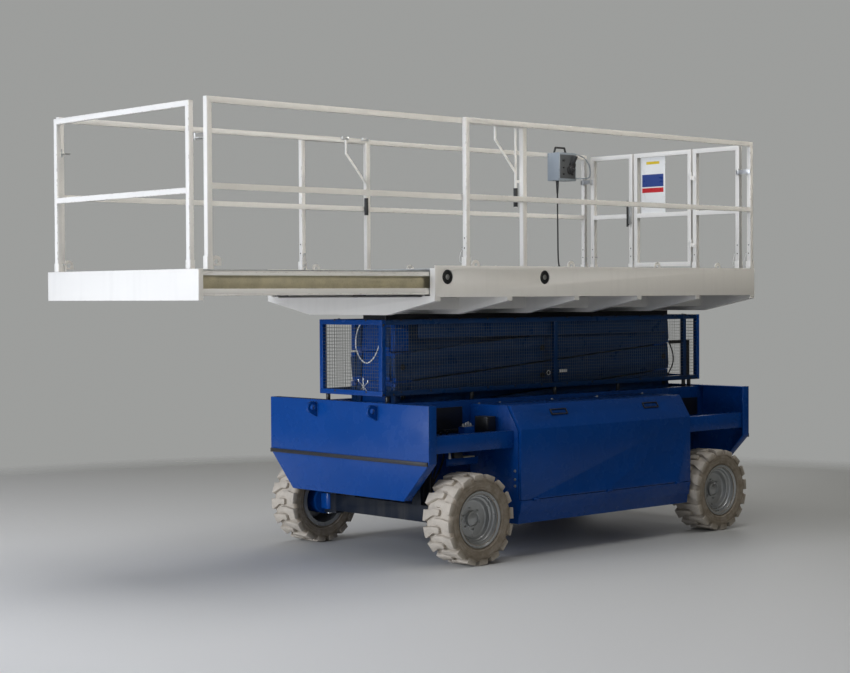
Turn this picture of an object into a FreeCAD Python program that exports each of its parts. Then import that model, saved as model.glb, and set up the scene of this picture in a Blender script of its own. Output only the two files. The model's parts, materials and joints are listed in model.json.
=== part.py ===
import FreeCAD, Part
import math
import os

from FreeCAD import Vector

# Self-propelled scissor lift with a roll-out platform extension, in millimetres.
# Lengths along x are measured from the middle of the wheelbase, +x towards the
# extension, +y to the machine's left side, z up from the floor. Every piece is
# shifted by SHIFT_X at the end, so that the origin is the bottom centre of the machine.

# Wheels and axles
WHEELBASE = 2874.0
TYRE_OUTER_Y = 1062.0
TYRE_WIDTH = 285.0
TYRE_R = 345.0
LUG_HEIGHT = 27.0
LUG_COUNT = 16
LUG_THICK = 48.0
LUG_SHOULDER = 86.0
LUG_SLANT = 30.0
LUG_TIP_Y = -26.0
LUG_BEND_Y = 40.0
TREAD_FACETS = 16
BEAD_R = 190.0
BEAD_GAP = 0.3
RIM_WIDTH = 256.0
RIM_WALL = 8.0
HUB_RING_R = 62.0
FLANGE_R = 214.0
DISC_INSET = 108.0
DISC_THICK = 10.0
SPINDLE_R = 40.0
HUB_R = 108.0
HUB_FACE_GAP = 0.4
AXLE_HEIGHT = 130.0
AXLE_HALF_THICK = 55.0
KINGPIN_Y = 720.0
KINGPIN_R = 18.0
KNUCKLE_BOSS_R = 48.0
EAR_THICK = 25.0
EAR_R = 45.0
EAR_GAP = 2.0
RUN_FIT = 0.05
STEER_ARM = 150.0
TIE_ROD_R = 14.0
BALL_PIN_R = 10.0
BALL_EYE_R = 24.0
BALL_PIN_GAP = 1.0

# Chassis
BUMPER_FACE_X = 1865.0
BUMPER_REAR_FACE_X = -1962.0
BUMPER_HALF = 947.0
BUMPER_LOW_HALF = 664.0
BUMPER_TOP_Z = 1210.0
BUMPER_FOLD_Z = 779.0
BUMPER_LOW_Z = 486.0
BUMPER_PLATE = 12.0
BUMPER_DEPTH = 80.0
STRIP_HEIGHT = 30.0
STRIP_PROUD = 12.0
RAIL_IN_Y = 345.0
RAIL_OUT_Y = 445.0
RAIL_LOW_Z = 820.0
CHANNEL_FLOOR_Z = 885.0
CHANNEL_PLATE = 14.0
CROSS_MEMBERS_X = (1700.0, 700.0, -300.0, -1200.0, -1850.0)
CROSS_MEMBER_HALF = 40.0
BEAM_IN_Y = 850.0
BEAM_OUT_Y = 930.0
BEAM_LOW_Z = 850.0
BEAM_TOP_Z = 980.0
LUG_Y = 360.0
LUG_REACH = 48.0
LUG_R = 47.0
LUG_HOLE_R = 22.0
LUG_PLATE = 25.0
LUG_Z = 1150.0

# Side boxes and their drop-down doors
BOX_FRONT_X = 960.0
BOX_REAR_X = -1075.0
BOX_OUT_Y = 1010.0
BOX_TOP_Y = 896.0
BOX_TOP_Z = 1169.0
BOX_BEVEL_Z = 990.0
BOX_CREASE_Z = 442.0
BOX_SILL_Z = 336.0
BOX_SILL_IN = 28.0
BOX_LIP = 12.0
BOX_LOW_Z = 262.0
BOX_LOW_IN = 38.0
BOX_WALL = 20.0
DOOR_THICK = 28.0
DOOR_GAP = 6.0
DOOR_SILL_GAP = 5.0
DOOR_HANDLE_X = (467.0, -638.0)
DOOR_HANDLE_LENGTH = 165.0
DOOR_HANDLE_Z = (1078.0, 1116.0)
DOOR_HINGE_INSET = 160.0
DOOR_PIN_R = 4.0
DOOR_BARREL_R = 9.0
DOOR_HINGE_HALF = 30.0
BATTERY_TOP_Z = 820.0
BATTERY_INSET_X = 220.0

# Mesh guard around the folded arms
CAGE_FRONT_X = 1816.0
CAGE_REAR_X = -1990.0
CAGE_HALF = 375.0
CAGE_LOW_Z = 1256.0
CAGE_TOP_Z = 1840.0
CAGE_BAR = 40.0
CAGE_POSTS_X = (-107.0, -1785.0)
CAGE_FEET_X = (1746.0, 850.0, -107.0, -900.0, -1785.0, -1860.0)
GUARD_BAR_X = (-1885.0, -1602.0)
GUARD_BAR_Z = 1596.0
GUARD_BAR_WIDTH = 30.0
GUARD_PLATE_THICK = 10.0
MESH_PITCH = 60.0
MESH_WIRE = 6.0
MESH_THICK = 5.0
FOOT_R = 17.0

# Scissor arms
ARM_LENGTH = 3133.0
STAGES = 3
STAGE_RISE = 230.0
PIVOT_X = 1510.0
PIVOT_Z = 1008.0
ARM_DEPTH = 214.0
ARM_END = 75.0
ARM_CLIP = 32.0
OUTER_ARM_Y = (210.0, 262.0)
INNER_ARM_Y = (146.0, 198.0)
SHAFT_R = 25.0
CROSS_TUBE_R = 40.0
CROSS_TUBE_AT = 0.15
ROLLER_R = 35.0
TOP_ROLLER_R = 48.0
TRACK_START = 2100.0
TRACK_END = 3230.0
LIFT_TOP_ANGLE = 45.0

# Lift cylinder
BARREL_R = 62.0
BARREL_BORE_R = 46.0
ROD_R = 38.0
EYE_R = 60.0
EYE_HALF = 55.0
GLAND_LENGTH = 60.0
ROD_EYE_R = 38.0
ROD_EYE_BORE_R = 20.0
ROD_EYE_HALF = 34.0
ROD_LUG_DROP = 90.0
ROD_LUG_THICK = 16.0
ROD_LUG_GAP = 4.0
ROD_SHOWING = 60.0

# Platform
DECK_FRONT_X = 1845.0
DECK_REAR_X = -1967.0
DECK_HALF = 1004.0
DECK_TOP_Z = 2224.0
DECK_LOW_Z = 2011.0
DECK_WEB = 10.0
DECK_LIP = 20.0
DECK_FLOOR = 12.0
DECK_LEDGE_IN_Y = 862.0
RIB_TIP_Z = 1983.0
RIB_FLAT_Z = 1877.0
RIB_FLAT_HALF = 464.0
RIB_WIDTH = 56.0
RIB_COUNT = 6
STRINGER_Y = 440.0
STRINGER_LOW_Z = 1915.0
ROLLER_HOLE_X = (1717.0, 682.0)
ROLLER_HOLE_Z = 2160.0
ROLLER_HOLE_R = 54.0
GUIDE_LOW_Z = 1808.0
GUIDE_IN_Y = 70.0
GUIDE_OUT_Y = 136.0
GUIDE_REAR_X = -1830.0
GUIDE_FRONT_X = 1565.0
RAIL_HEIGHT = 1100.0
RAIL_TUBE = 40.0
MID_RAIL_Z = 2728.0
SIDE_RAIL_RISE = 24.0
SIDE_MID_RAIL_Z = 2758.0
MAIN_RAIL_Y = 978.0
MAIN_RAIL_FRONT_X = 1500.0
MAIN_RAIL_REAR_X = -1940.0
REAR_FRAME_IN_Y = 357.0
REAR_FRAME_OUT_Y = 875.0
GATE_HALF = 337.0
GATE_LOW_Z = 2275.0
GATE_MID_Z = 2750.0
GATE_HINGE_X = -1908.0
GATE_HINGE_Y = 347.0
GATE_HINGES_Z = (2480.0, 3080.0)
GATE_PIN_R = 6.0
GATE_BARREL_R = 12.0
GATE_BARREL = 36.0
GATE_LATCH_Z = (2680.0, 2860.0)
HOOK_Z = (3070.0, 3110.0)
SIGN_Y = (-262.0, 24.0)
SIGN_THICK = 4.0

# Roll-out extension
EXT_FRONT_X = 3910.0
EXT_FASCIA = 40.0
EXT_HALF = 948.0
EXT_FASCIA_LOW_Z = 2000.0
EXT_FASCIA_TOP_Z = 2210.0
EXT_TAIL_X = 880.0
EXT_BEAM_IN_Y = 868.0
EXT_BEAM_OUT_Y = 938.0
EXT_BEAM_LOW_Z = 2030.0
EXT_BEAM_TOP_Z = 2198.0
EXT_BEAM_SKIN = 12.0
EXT_FLOOR = 8.0
EXT_FLOOR_REAR_X = 1790.0
EXT_CROSS_X = (3400.0, 2650.0, 1930.0, 950.0)
EXT_RAIL_Y = 925.0
EXT_RAIL_FRONT_X = 3810.0
EXT_RAIL_REAR_X = 840.0
EXT_POST_SHOE_GAP = 6.0
END_RAIL_Y = 830.0
PAD_X = (1780.0, 950.0)
PAD_LENGTH = 90.0
PAD_GAP = 0.3

# Push handles, control box and its cable
HANDLE_R = 10.0
HANDLE_TOP_X = 1102.0
HANDLE_LOW_X = 882.0
HANDLE_DROPS = (30.0, 135.0, 380.0, 640.0)
HANDLE_Y = 885.0
GRIP_R = 17.0
GRIP_LENGTH = 144.0
CONTROL_X = (-1634.0, -1404.0)
CONTROL_Y = (-950.0, -800.0)
CONTROL_Z = (3085.0, 3345.0)
CARRY_R = 9.0
CABLE_R = 7.0
GLAND_DROP = 120.0

# Worked out from the sizes above
LUG_TIP_X = BUMPER_REAR_FACE_X - LUG_REACH - LUG_R
SHIFT_X = -(EXT_FRONT_X + LUG_TIP_X) / 2.0
AXLE_X = WHEELBASE / 2.0
WHEEL_Y = TYRE_OUTER_Y - TYRE_WIDTH / 2.0
DISC_Y = WHEEL_Y + RIM_WIDTH / 2.0 - DISC_INSET
REST_ANGLE = math.degrees(math.asin(STAGE_RISE / ARM_LENGTH))
SPAN = ARM_LENGTH * math.cos(math.radians(REST_ANGLE))
TOP_PIVOT_Z = PIVOT_Z + STAGES * STAGE_RISE
RAIL_TOP_Z = DECK_TOP_Z + RAIL_HEIGHT
SIDE_RAIL_TOP_Z = RAIL_TOP_Z + SIDE_RAIL_RISE
X_AXIS = Vector(1, 0, 0)
Y_AXIS = Vector(0, 1, 0)
Z_AXIS = Vector(0, 0, 1)
ORIGIN = Vector(0, 0, 0)


def box(x, y, z):
    """A block between pairs of x, y and z, given in any order."""
    x, y, z = sorted(x), sorted(y), sorted(z)
    return Part.makeBox(x[1] - x[0], y[1] - y[0], z[1] - z[0], Vector(x[0], y[0], z[0]))


def rod(start, end, radius):
    """A round bar between two points."""
    way = end - start
    return Part.makeCylinder(radius, way.Length, start, way)


def bar_y(x, y, z, radius):
    """A round bar along y at (x, z), between a pair of y."""
    y = sorted(y)
    return Part.makeCylinder(radius, y[1] - y[0], Vector(x, y[0], z), Y_AXIS)


def fuse(shapes):
    """One solid from overlapping or touching shapes."""
    joined = shapes[0].multiFuse(shapes[1:]) if len(shapes) > 1 else shapes[0]
    return joined.removeSplitter()


def across(shape):
    """The same shape on the other side of the machine."""
    return shape.mirror(ORIGIN, Y_AXIS)


def both(shape):
    """A shape and its mirror image across the machine."""
    return [shape, across(shape)]


def outline_x(points, x):
    """A plate or bar with a straight-sided (y, z) outline, between a pair of x."""
    x = sorted(x)
    corners = [Vector(x[0], y, z) for y, z in points]
    face = Part.Face(Part.makePolygon(corners + corners[:1]))
    return face.extrude(Vector(x[1] - x[0], 0, 0))


def stadium(start, end, radius, y):
    """A flat arm with round ends, in the xz plane, between a pair of y."""
    y = sorted(y)
    way = (end - start).normalize()
    side = way.cross(Y_AXIS) * radius
    corners = [start + side, end + side, end - side, start - side]
    corners = [Vector(p.x, y[0], p.z) for p in corners]
    edges = [
        Part.LineSegment(corners[0], corners[1]).toShape(),
        Part.Arc(corners[1], Vector(end.x, y[0], end.z) + way * radius, corners[2]).toShape(),
        Part.LineSegment(corners[2], corners[3]).toShape(),
        Part.Arc(corners[3], Vector(start.x, y[0], start.z) - way * radius, corners[0]).toShape(),
    ]
    return Part.Face(Part.Wire(edges)).extrude(Vector(0, y[1] - y[0], 0))


def upright_frame(x, y, z, tube, mid_z=None, plane="x"):
    """A rail frame of square tube in one upright plane, around pairs of x or y and z.

    plane "x" is a frame along x at one y, plane "y" a frame along y at one x.
    """
    half = tube / 2.0
    bars = []
    if plane == "x":
        across_y = (y - half, y + half)
        bars += [box((end - half, end + half), across_y, z) for end in x]
        levels = [z[1] - half] + ([mid_z] if mid_z else [])
        bars += [box(x, across_y, (level - half, level + half)) for level in levels]
    else:
        across_x = (x - half, x + half)
        bars += [box(across_x, (end - half, end + half), z) for end in y]
        levels = [z[1] - half] + ([mid_z] if mid_z else [])
        bars += [box(across_x, y, (level - half, level + half)) for level in levels]
    return bars


def export(node, *shapes):
    """Write one node, shifted to the machine's own origin."""
    solids = [solid for shape in shapes for solid in shape.Solids]
    moved = [solid.translated(Vector(SHIFT_X, 0, 0)) for solid in solids]
    shape = moved[0] if len(moved) == 1 else Part.makeCompound(moved)
    if not shape.isValid():
        print("not valid:", node)
    shape.exportStep("parts/" + node + ".step")


# Wheels


def carcass_profile():
    """(radius, y) corners of the tyre without lugs, from bead round to bead."""
    flat = BEAD_R + BEAD_GAP
    in_rim = RIM_WIDTH / 2.0 - RIM_WALL - BEAD_GAP
    half = TYRE_WIDTH / 2.0
    tread = TYRE_R - LUG_HEIGHT
    return [
        (flat, in_rim),
        (FLANGE_R + 10.0, in_rim),
        (FLANGE_R + 40.0, half - 4.0),
        (tread - 16.0, half - 10.0),
        (tread, half - 38.0),
    ]


def tyre_carcass():
    """The tyre body as a ring of flat facets about the y axis at the origin."""
    profile = carcass_profile()
    ring = profile + [(radius, -y) for radius, y in reversed(profile)]
    step = 2.0 * math.pi / TREAD_FACETS
    stretch = 1.0 / math.cos(step / 2.0)
    corners = []
    for facet in range(TREAD_FACETS):
        turn = facet * step
        spoke = Vector(math.cos(turn), 0, math.sin(turn)) * stretch
        corners.append([spoke * radius + Vector(0, y, 0) for radius, y in ring])
    faces = []
    for facet in range(TREAD_FACETS):
        here, there = corners[facet], corners[(facet + 1) % TREAD_FACETS]
        for i in range(len(ring)):
            j = (i + 1) % len(ring)
            loop = [here[i], here[j], there[j], there[i]]
            faces.append(Part.Face(Part.makePolygon(loop + loop[:1])))
    shell = Part.Shell(faces)
    shell.sewShape()
    solid = Part.Solid(shell)
    return solid if solid.Volume > 0 else solid.reversed()


def lug_top():
    """Height of a lug's flat top above the wheel's centre, its outer corners on the tyre's radius."""
    return math.sqrt(TYRE_R ** 2 - (LUG_SHOULDER / 2.0 + LUG_SLANT) ** 2)


def tread_lug(side):
    """One lug at the top of the wheel: a bar past the middle that slants and widens to the shoulder."""
    low = TYRE_R - LUG_HEIGHT - 12.0
    half, wide = LUG_THICK / 2.0, LUG_SHOULDER / 2.0
    edge = TYRE_WIDTH / 2.0
    plan = [
        (-half, LUG_TIP_Y), (half, LUG_TIP_Y), (half, LUG_BEND_Y), (LUG_SLANT + wide, edge),
        (LUG_SLANT - wide, edge), (-half, LUG_BEND_Y),
    ]
    corners = [Vector(x, side * y, low) for x, y in plan]
    return Part.Face(Part.makePolygon(corners + corners[:1])).extrude(Vector(0, 0, lug_top() - low))


def tyre():
    """The tyre about the origin: two staggered rows of lugs on the carcass.

    The rows are turned a little, so that a lug's corner stands exactly on the floor.
    """
    step = 360.0 / LUG_COUNT
    corner = math.degrees(math.atan2(LUG_SHOULDER / 2.0 + LUG_SLANT, lug_top()))
    start = step / 2.0 - corner
    rows = []
    for side, stagger in ((1, 0.0), (-1, step / 2.0)):
        lug = tread_lug(side)
        rows += [lug.rotated(ORIGIN, Y_AXIS, start + stagger + i * step) for i in range(LUG_COUNT)]
    return fuse([tyre_carcass()] + rows)


def rim():
    """The rim and its dished disc about the origin, outer side towards +y."""
    half = RIM_WIDTH / 2.0
    disc_y = half - DISC_INSET
    barrel = [
        (BEAD_R - RIM_WALL, -half), (FLANGE_R, -half), (FLANGE_R, -half + RIM_WALL),
        (BEAD_R, -half + RIM_WALL), (BEAD_R, half - RIM_WALL), (FLANGE_R, half - RIM_WALL),
        (FLANGE_R, half), (BEAD_R - RIM_WALL, half),
        (BEAD_R - RIM_WALL, disc_y + 62.0), (BEAD_R - 34.0, disc_y + 46.0),
        (BEAD_R - 44.0, disc_y + DISC_THICK), (SPINDLE_R + RUN_FIT, disc_y + DISC_THICK),
        (SPINDLE_R + RUN_FIT, disc_y), (BEAD_R - 38.0, disc_y),
        (BEAD_R - 26.0, disc_y + 38.0), (BEAD_R - RIM_WALL, disc_y + 52.0),
    ]
    corners = [Vector(radius, y, 0) for radius, y in barrel]
    body = Part.Face(Part.makePolygon(corners + corners[:1])).revolve(ORIGIN, Y_AXIS, 360)
    hub_ring = bar_y(0, (disc_y + DISC_THICK, disc_y + DISC_THICK + 26.0), 0, HUB_RING_R)
    bore = bar_y(0, (disc_y - 1.0, disc_y + DISC_THICK + 14.0), 0, SPINDLE_R + RUN_FIT)
    return fuse([body, hub_ring]).cut(bore)


def wheels():
    """A rim and a tyre at each corner."""
    rim_shape, tyre_shape = rim(), tyre()
    for name, x in (("front", AXLE_X), ("rear", -AXLE_X)):
        place = Vector(x, WHEEL_Y, TYRE_R)
        left_rim = rim_shape.translated(place)
        left_tyre = tyre_shape.translated(place)
        export("rim_" + name + "_left", left_rim)
        export("rim_" + name + "_right", across(left_rim))
        export("tyre_" + name + "_left", left_tyre)
        export("tyre_" + name + "_right", across(left_tyre))


def wheel_hub(x, start_y):
    """The drive motor and spindle that carry a left wheel, from start_y outwards."""
    motor = bar_y(x, (start_y, DISC_Y - HUB_FACE_GAP), TYRE_R, HUB_R)
    spindle = bar_y(x, (start_y, DISC_Y + DISC_THICK), TYRE_R, SPINDLE_R)
    return [motor, spindle]


def axles():
    """The beam of each axle with the brackets that hang it from the main rails."""
    z = (TYRE_R - AXLE_HEIGHT / 2.0, TYRE_R + AXLE_HEIGHT / 2.0)
    beam_half = KINGPIN_Y - KNUCKLE_BOSS_R - 22.0
    beam_x = (AXLE_X - AXLE_HALF_THICK, AXLE_X + AXLE_HALF_THICK)
    ear_x = (AXLE_X - EAR_R, AXLE_X + EAR_R)
    front = [box(beam_x, (-beam_half, beam_half), z)]
    for ear_z in ((z[1], z[1] + EAR_THICK), (z[0] - EAR_THICK, z[0])):
        front += both(box(ear_x, (beam_half - 60, KINGPIN_Y), ear_z))
        front += both(Part.makeCylinder(EAR_R, EAR_THICK, Vector(AXLE_X, KINGPIN_Y, ear_z[0])))
    pin_base = Vector(AXLE_X, KINGPIN_Y, z[0] - EAR_THICK)
    front += both(Part.makeCylinder(KINGPIN_R, AXLE_HEIGHT + 2 * EAR_THICK, pin_base))
    front += hangers(AXLE_X, z[1])
    export("front_axle", fuse(front))

    rear_half = KINGPIN_Y + 40.0
    beam_x = (-AXLE_X - AXLE_HALF_THICK, -AXLE_X + AXLE_HALF_THICK)
    rear = [box(beam_x, (-rear_half, rear_half), z)]
    for shape in wheel_hub(-AXLE_X, rear_half - 20.0):
        rear += both(shape)
    rear += hangers(-AXLE_X, z[1])
    export("rear_axle", fuse(rear))


def hangers(x, beam_top):
    """Upright plates from an axle beam to the main rails."""
    plates = []
    for offset in (-AXLE_HALF_THICK + 12.0, AXLE_HALF_THICK - 12.0):
        plate = box((x + offset - 12, x + offset + 12), (RAIL_IN_Y, RAIL_OUT_Y), (beam_top - 20, RAIL_LOW_Z))
        plates += both(plate)
    return plates


def knuckles():
    """The steered knuckles, their arms and the tie rod between them."""
    low, high = TYRE_R - AXLE_HEIGHT / 2.0 + EAR_GAP, TYRE_R + AXLE_HEIGHT / 2.0 - EAR_GAP
    arm_z = (low + 4.0, low + 28.0)
    boss = Part.makeCylinder(KNUCKLE_BOSS_R, high - low, Vector(AXLE_X, KINGPIN_Y, low))
    neck = box((AXLE_X - 46, AXLE_X + 46), (KINGPIN_Y + 8, KINGPIN_Y + 62), (low, high))
    arm = stadium(Vector(AXLE_X, 0, 0), Vector(AXLE_X - STEER_ARM, 0, 0), 22.0, arm_z)
    arm = arm.rotated(Vector(AXLE_X, 0, 0), X_AXIS, 90).translated(Vector(0, KINGPIN_Y, 0))
    arm = arm.translated(Vector(0, 0, arm_z[0] - arm.BoundBox.ZMin))
    ball = Vector(AXLE_X - STEER_ARM, KINGPIN_Y, arm_z[1] - 2.0)
    ball_pin = Part.makeCylinder(BALL_PIN_R, 34.0, ball)
    body = fuse([boss, neck, arm, ball_pin] + wheel_hub(AXLE_X, KINGPIN_Y + 55.0))
    bore = Part.makeCylinder(KINGPIN_R + RUN_FIT, high - low + 20, Vector(AXLE_X, KINGPIN_Y, low - 10))
    knuckle = body.cut(bore)
    export("knuckle_left", knuckle)
    export("knuckle_right", across(knuckle))

    eye_z = arm_z[1] + 0.4
    eyes = []
    for side in (1, -1):
        place = Vector(AXLE_X - STEER_ARM, side * KINGPIN_Y, eye_z)
        eyes.append(Part.makeCylinder(BALL_EYE_R, 26.0, place))
    mid_z = eye_z + 13.0
    tube_end = KINGPIN_Y - 15.0
    tube = bar_y(AXLE_X - STEER_ARM, (-tube_end, tube_end), mid_z, TIE_ROD_R - 2.0)
    rod_shape = fuse(eyes + [tube])
    for side, gap in ((1, RUN_FIT), (-1, BALL_PIN_GAP)):
        place = Vector(AXLE_X - STEER_ARM, side * KINGPIN_Y, eye_z - 5)
        rod_shape = rod_shape.cut(Part.makeCylinder(BALL_PIN_R + gap, 40.0, place))
    export("tie_rod", rod_shape)


# Chassis


def bumper_outline(inset):
    """(y, z) corners of a bumper, drawn in by a wall's thickness."""
    slope = math.atan2(BUMPER_FOLD_Z - BUMPER_LOW_Z, BUMPER_HALF - BUMPER_LOW_HALF)
    pull = inset * math.tan(slope / 2.0)
    right = [
        (BUMPER_LOW_HALF - pull, BUMPER_LOW_Z + inset),
        (BUMPER_HALF - inset, BUMPER_FOLD_Z + inset * math.tan(math.pi / 4 - slope / 2.0)),
        (BUMPER_HALF - inset, BUMPER_TOP_Z - inset),
    ]
    return right + [(-y, z) for y, z in reversed(right)]


def bumpers():
    """The front and rear bumper plates, their black strips and the lifting lugs."""
    lugs, strips = [], []
    for name, face_x, inward in (("front", BUMPER_FACE_X, -1), ("rear", BUMPER_REAR_FACE_X, 1)):
        open_x = face_x + inward * BUMPER_DEPTH
        tray = outline_x(bumper_outline(0.0), (face_x, open_x))
        hollow = outline_x(bumper_outline(BUMPER_PLATE), (face_x + inward * BUMPER_PLATE, open_x + inward))
        export(name + "_bumper", tray.cut(hollow))
        lugs += [lifting_lug(face_x, -inward, y) for y in (LUG_Y, -LUG_Y)]
        z = (BUMPER_FOLD_Z - STRIP_HEIGHT / 2.0, BUMPER_FOLD_Z + STRIP_HEIGHT / 2.0)
        strip_y = (-BUMPER_HALF + 8, BUMPER_HALF - 8)
        strips.append(box((face_x, face_x - inward * STRIP_PROUD), strip_y, z))
    export("lifting_lugs", *lugs)
    export("bumper_strips", *strips)


def lifting_lug(face_x, outward, y):
    """A teardrop plate with a hole across the machine, welded to a bumper's face."""
    span_y = (y - LUG_PLATE / 2.0, y + LUG_PLATE / 2.0)
    centre = Vector(face_x + outward * LUG_REACH, 0, LUG_Z)
    root = Vector(face_x - outward * LUG_R, 0, LUG_Z - LUG_R)
    plate = stadium(root, centre, LUG_R, span_y)
    outside = box((face_x, face_x + outward * 4 * LUG_R), span_y, (LUG_Z - 4 * LUG_R, LUG_Z + 4 * LUG_R))
    hole = bar_y(centre.x, (span_y[0] - 1, span_y[1] + 1), LUG_Z, LUG_HOLE_R)
    return plate.common(outside).cut(hole)


def chassis_frame():
    """Main rails, cross members, the channel floor under the arms and the outriggers."""
    front_x = BUMPER_FACE_X - BUMPER_PLATE
    rear_x = BUMPER_REAR_FACE_X + BUMPER_PLATE
    pieces = both(box((rear_x, front_x), (RAIL_IN_Y, RAIL_OUT_Y), (RAIL_LOW_Z, BUMPER_TOP_Z - BUMPER_PLATE)))
    floor_z = (CHANNEL_FLOOR_Z - CHANNEL_PLATE, CHANNEL_FLOOR_Z)
    pieces.append(box((rear_x + 40, front_x - 40), (-RAIL_IN_Y, RAIL_IN_Y), floor_z))
    for x in CROSS_MEMBERS_X:
        member_x = (x - CROSS_MEMBER_HALF, x + CROSS_MEMBER_HALF)
        pieces.append(box(member_x, (-RAIL_IN_Y, RAIL_IN_Y), (RAIL_LOW_Z, floor_z[0])))
    for x in ((BOX_FRONT_X, front_x), (rear_x, BOX_REAR_X)):
        pieces += both(box(x, (BEAM_IN_Y, BEAM_OUT_Y), (BEAM_LOW_Z, BEAM_TOP_Z)))
    track_x = (PIVOT_X - TRACK_END, PIVOT_X - TRACK_START)
    track_z = (CHANNEL_FLOOR_Z, PIVOT_Z - ROLLER_R - 0.3)
    pieces += both(box(track_x, (OUTER_ARM_Y[0] + 2, RAIL_IN_Y), track_z))
    pivot = bar_y(PIVOT_X, (OUTER_ARM_Y[0] - 6, RAIL_IN_Y + 20), PIVOT_Z, SHAFT_R)
    pivot_collar = bar_y(PIVOT_X, (OUTER_ARM_Y[1] + 3, RAIL_IN_Y + 5), PIVOT_Z, SHAFT_R + 25)
    pieces += both(pivot) + both(pivot_collar)
    export("chassis_frame", fuse(pieces))


def bevel_angle():
    """Lean of a side box's upper face from upright, in radians."""
    return math.atan2(BOX_OUT_Y - BOX_TOP_Y, BOX_TOP_Z - BOX_BEVEL_Z)


def box_section():
    """(y, z) corners of a side box's body, a gap behind its door all the way up."""
    back = DOOR_THICK + DOOR_GAP
    return [
        (RAIL_OUT_Y, BOX_LOW_Z),
        (BOX_OUT_Y - BOX_LOW_IN, BOX_LOW_Z),
        (BOX_OUT_Y - BOX_SILL_IN, BOX_SILL_Z),
        (BOX_OUT_Y - BOX_SILL_IN + BOX_LIP, BOX_SILL_Z),
        (BOX_OUT_Y, BOX_CREASE_Z),
        (BOX_OUT_Y - back, BOX_CREASE_Z),
        (BOX_OUT_Y - back, BOX_BEVEL_Z - back * math.tan(bevel_angle() / 2.0)),
        (BOX_TOP_Y - back / math.cos(bevel_angle()), BOX_TOP_Z),
        (RAIL_OUT_Y, BOX_TOP_Z),
    ]


def door_section():
    """(y, z) corners of a side door: upright face and bevel, one thickness throughout."""
    low = BOX_CREASE_Z + DOOR_SILL_GAP
    return [
        (BOX_OUT_Y, low),
        (BOX_OUT_Y, BOX_BEVEL_Z),
        (BOX_TOP_Y, BOX_TOP_Z),
        (BOX_TOP_Y - DOOR_THICK / math.cos(bevel_angle()), BOX_TOP_Z),
        (BOX_OUT_Y - DOOR_THICK, BOX_BEVEL_Z - DOOR_THICK * math.tan(bevel_angle() / 2.0)),
        (BOX_OUT_Y - DOOR_THICK, low),
    ]


def side_boxes():
    """The hollow box on each side, its drop-down door, hinge and the battery block inside."""
    x = (BOX_REAR_X, BOX_FRONT_X)
    inner_x = (BOX_REAR_X + BOX_WALL, BOX_FRONT_X - BOX_WALL)
    body = outline_x(box_section(), x)
    hollow = outline_x(
        [
            (RAIL_OUT_Y + BOX_WALL, BOX_LOW_Z + BOX_WALL),
            (BOX_OUT_Y - 60.0, BOX_LOW_Z + BOX_WALL),
            (BOX_OUT_Y - 60.0, BOX_CREASE_Z - 12.0),
            (BOX_OUT_Y + 20.0, BOX_CREASE_Z + 60.0),
            (BOX_OUT_Y + 20.0, BOX_BEVEL_Z),
            (BOX_TOP_Y - 60.0, BOX_TOP_Z - BOX_WALL),
            (RAIL_OUT_Y + BOX_WALL, BOX_TOP_Z - BOX_WALL),
        ],
        inner_x,
    )
    body = body.cut(hollow)
    door = outline_x(door_section(), x)
    half = DOOR_HANDLE_LENGTH / 2.0
    for handle_x in DOOR_HANDLE_X:
        recess_y = (BOX_OUT_Y - 70, BOX_OUT_Y + 40)
        door = door.cut(box((handle_x - half, handle_x + half), recess_y, DOOR_HANDLE_Z))
    hinges_x = (x[0] + DOOR_HINGE_INSET, sum(x) / 2.0, x[1] - DOOR_HINGE_INSET)
    body, door = door_hinges(body, door, hinges_x, BOX_CREASE_Z + DOOR_SILL_GAP / 2.0)
    battery_x = (x[0] + BATTERY_INSET_X, x[1] - BATTERY_INSET_X)
    battery_z = (BOX_LOW_Z + BOX_WALL, BATTERY_TOP_Z)
    battery = box(battery_x, (RAIL_OUT_Y + 60, BOX_OUT_Y - 150), battery_z)
    export("side_box_left", body)
    export("side_box_right", across(body))
    export("side_door_left", door)
    export("side_door_right", across(door))
    export("batteries", *both(battery))


def door_hinges(body, door, places, z):
    """Butt hinges along the crease: a pinned half on the box, a bored half on the door."""
    half, clear = DOOR_HINGE_HALF, DOOR_BARREL_R + 3.0
    y = BOX_OUT_Y + 1.0
    on_body, on_door = [], []
    for x in places:
        start, mid, end = Vector(x - half, y, z), Vector(x, y, z), Vector(x + half, y, z)
        on_body.append(rod(start, mid, DOOR_BARREL_R))
        on_body.append(box((x - half, x), (y - 24, y), (z - 12, z - 3)))
        on_body.append(rod(mid - X_AXIS * 2, end, DOOR_PIN_R))
        knuckle = rod(mid + X_AXIS, end, DOOR_BARREL_R)
        leaf = box((x + 1, x + half), (y - 14, y), (z + 3, z + 12))
        bore = rod(mid, end + X_AXIS, DOOR_PIN_R + RUN_FIT)
        on_door.append(fuse([knuckle, leaf]).cut(bore))
        leaf_room = box((x + 1, x + half), (y - 14, y), (z + 3, z + 14))
        door = door.cut(rod(start - X_AXIS * 2, end + X_AXIS * 2, clear).cut(leaf_room)).cut(bore)
        body = body.cut(rod(mid + X_AXIS * 0.5, end + X_AXIS * 2, clear))
    return fuse([body] + on_body), fuse([door] + on_door)


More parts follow.
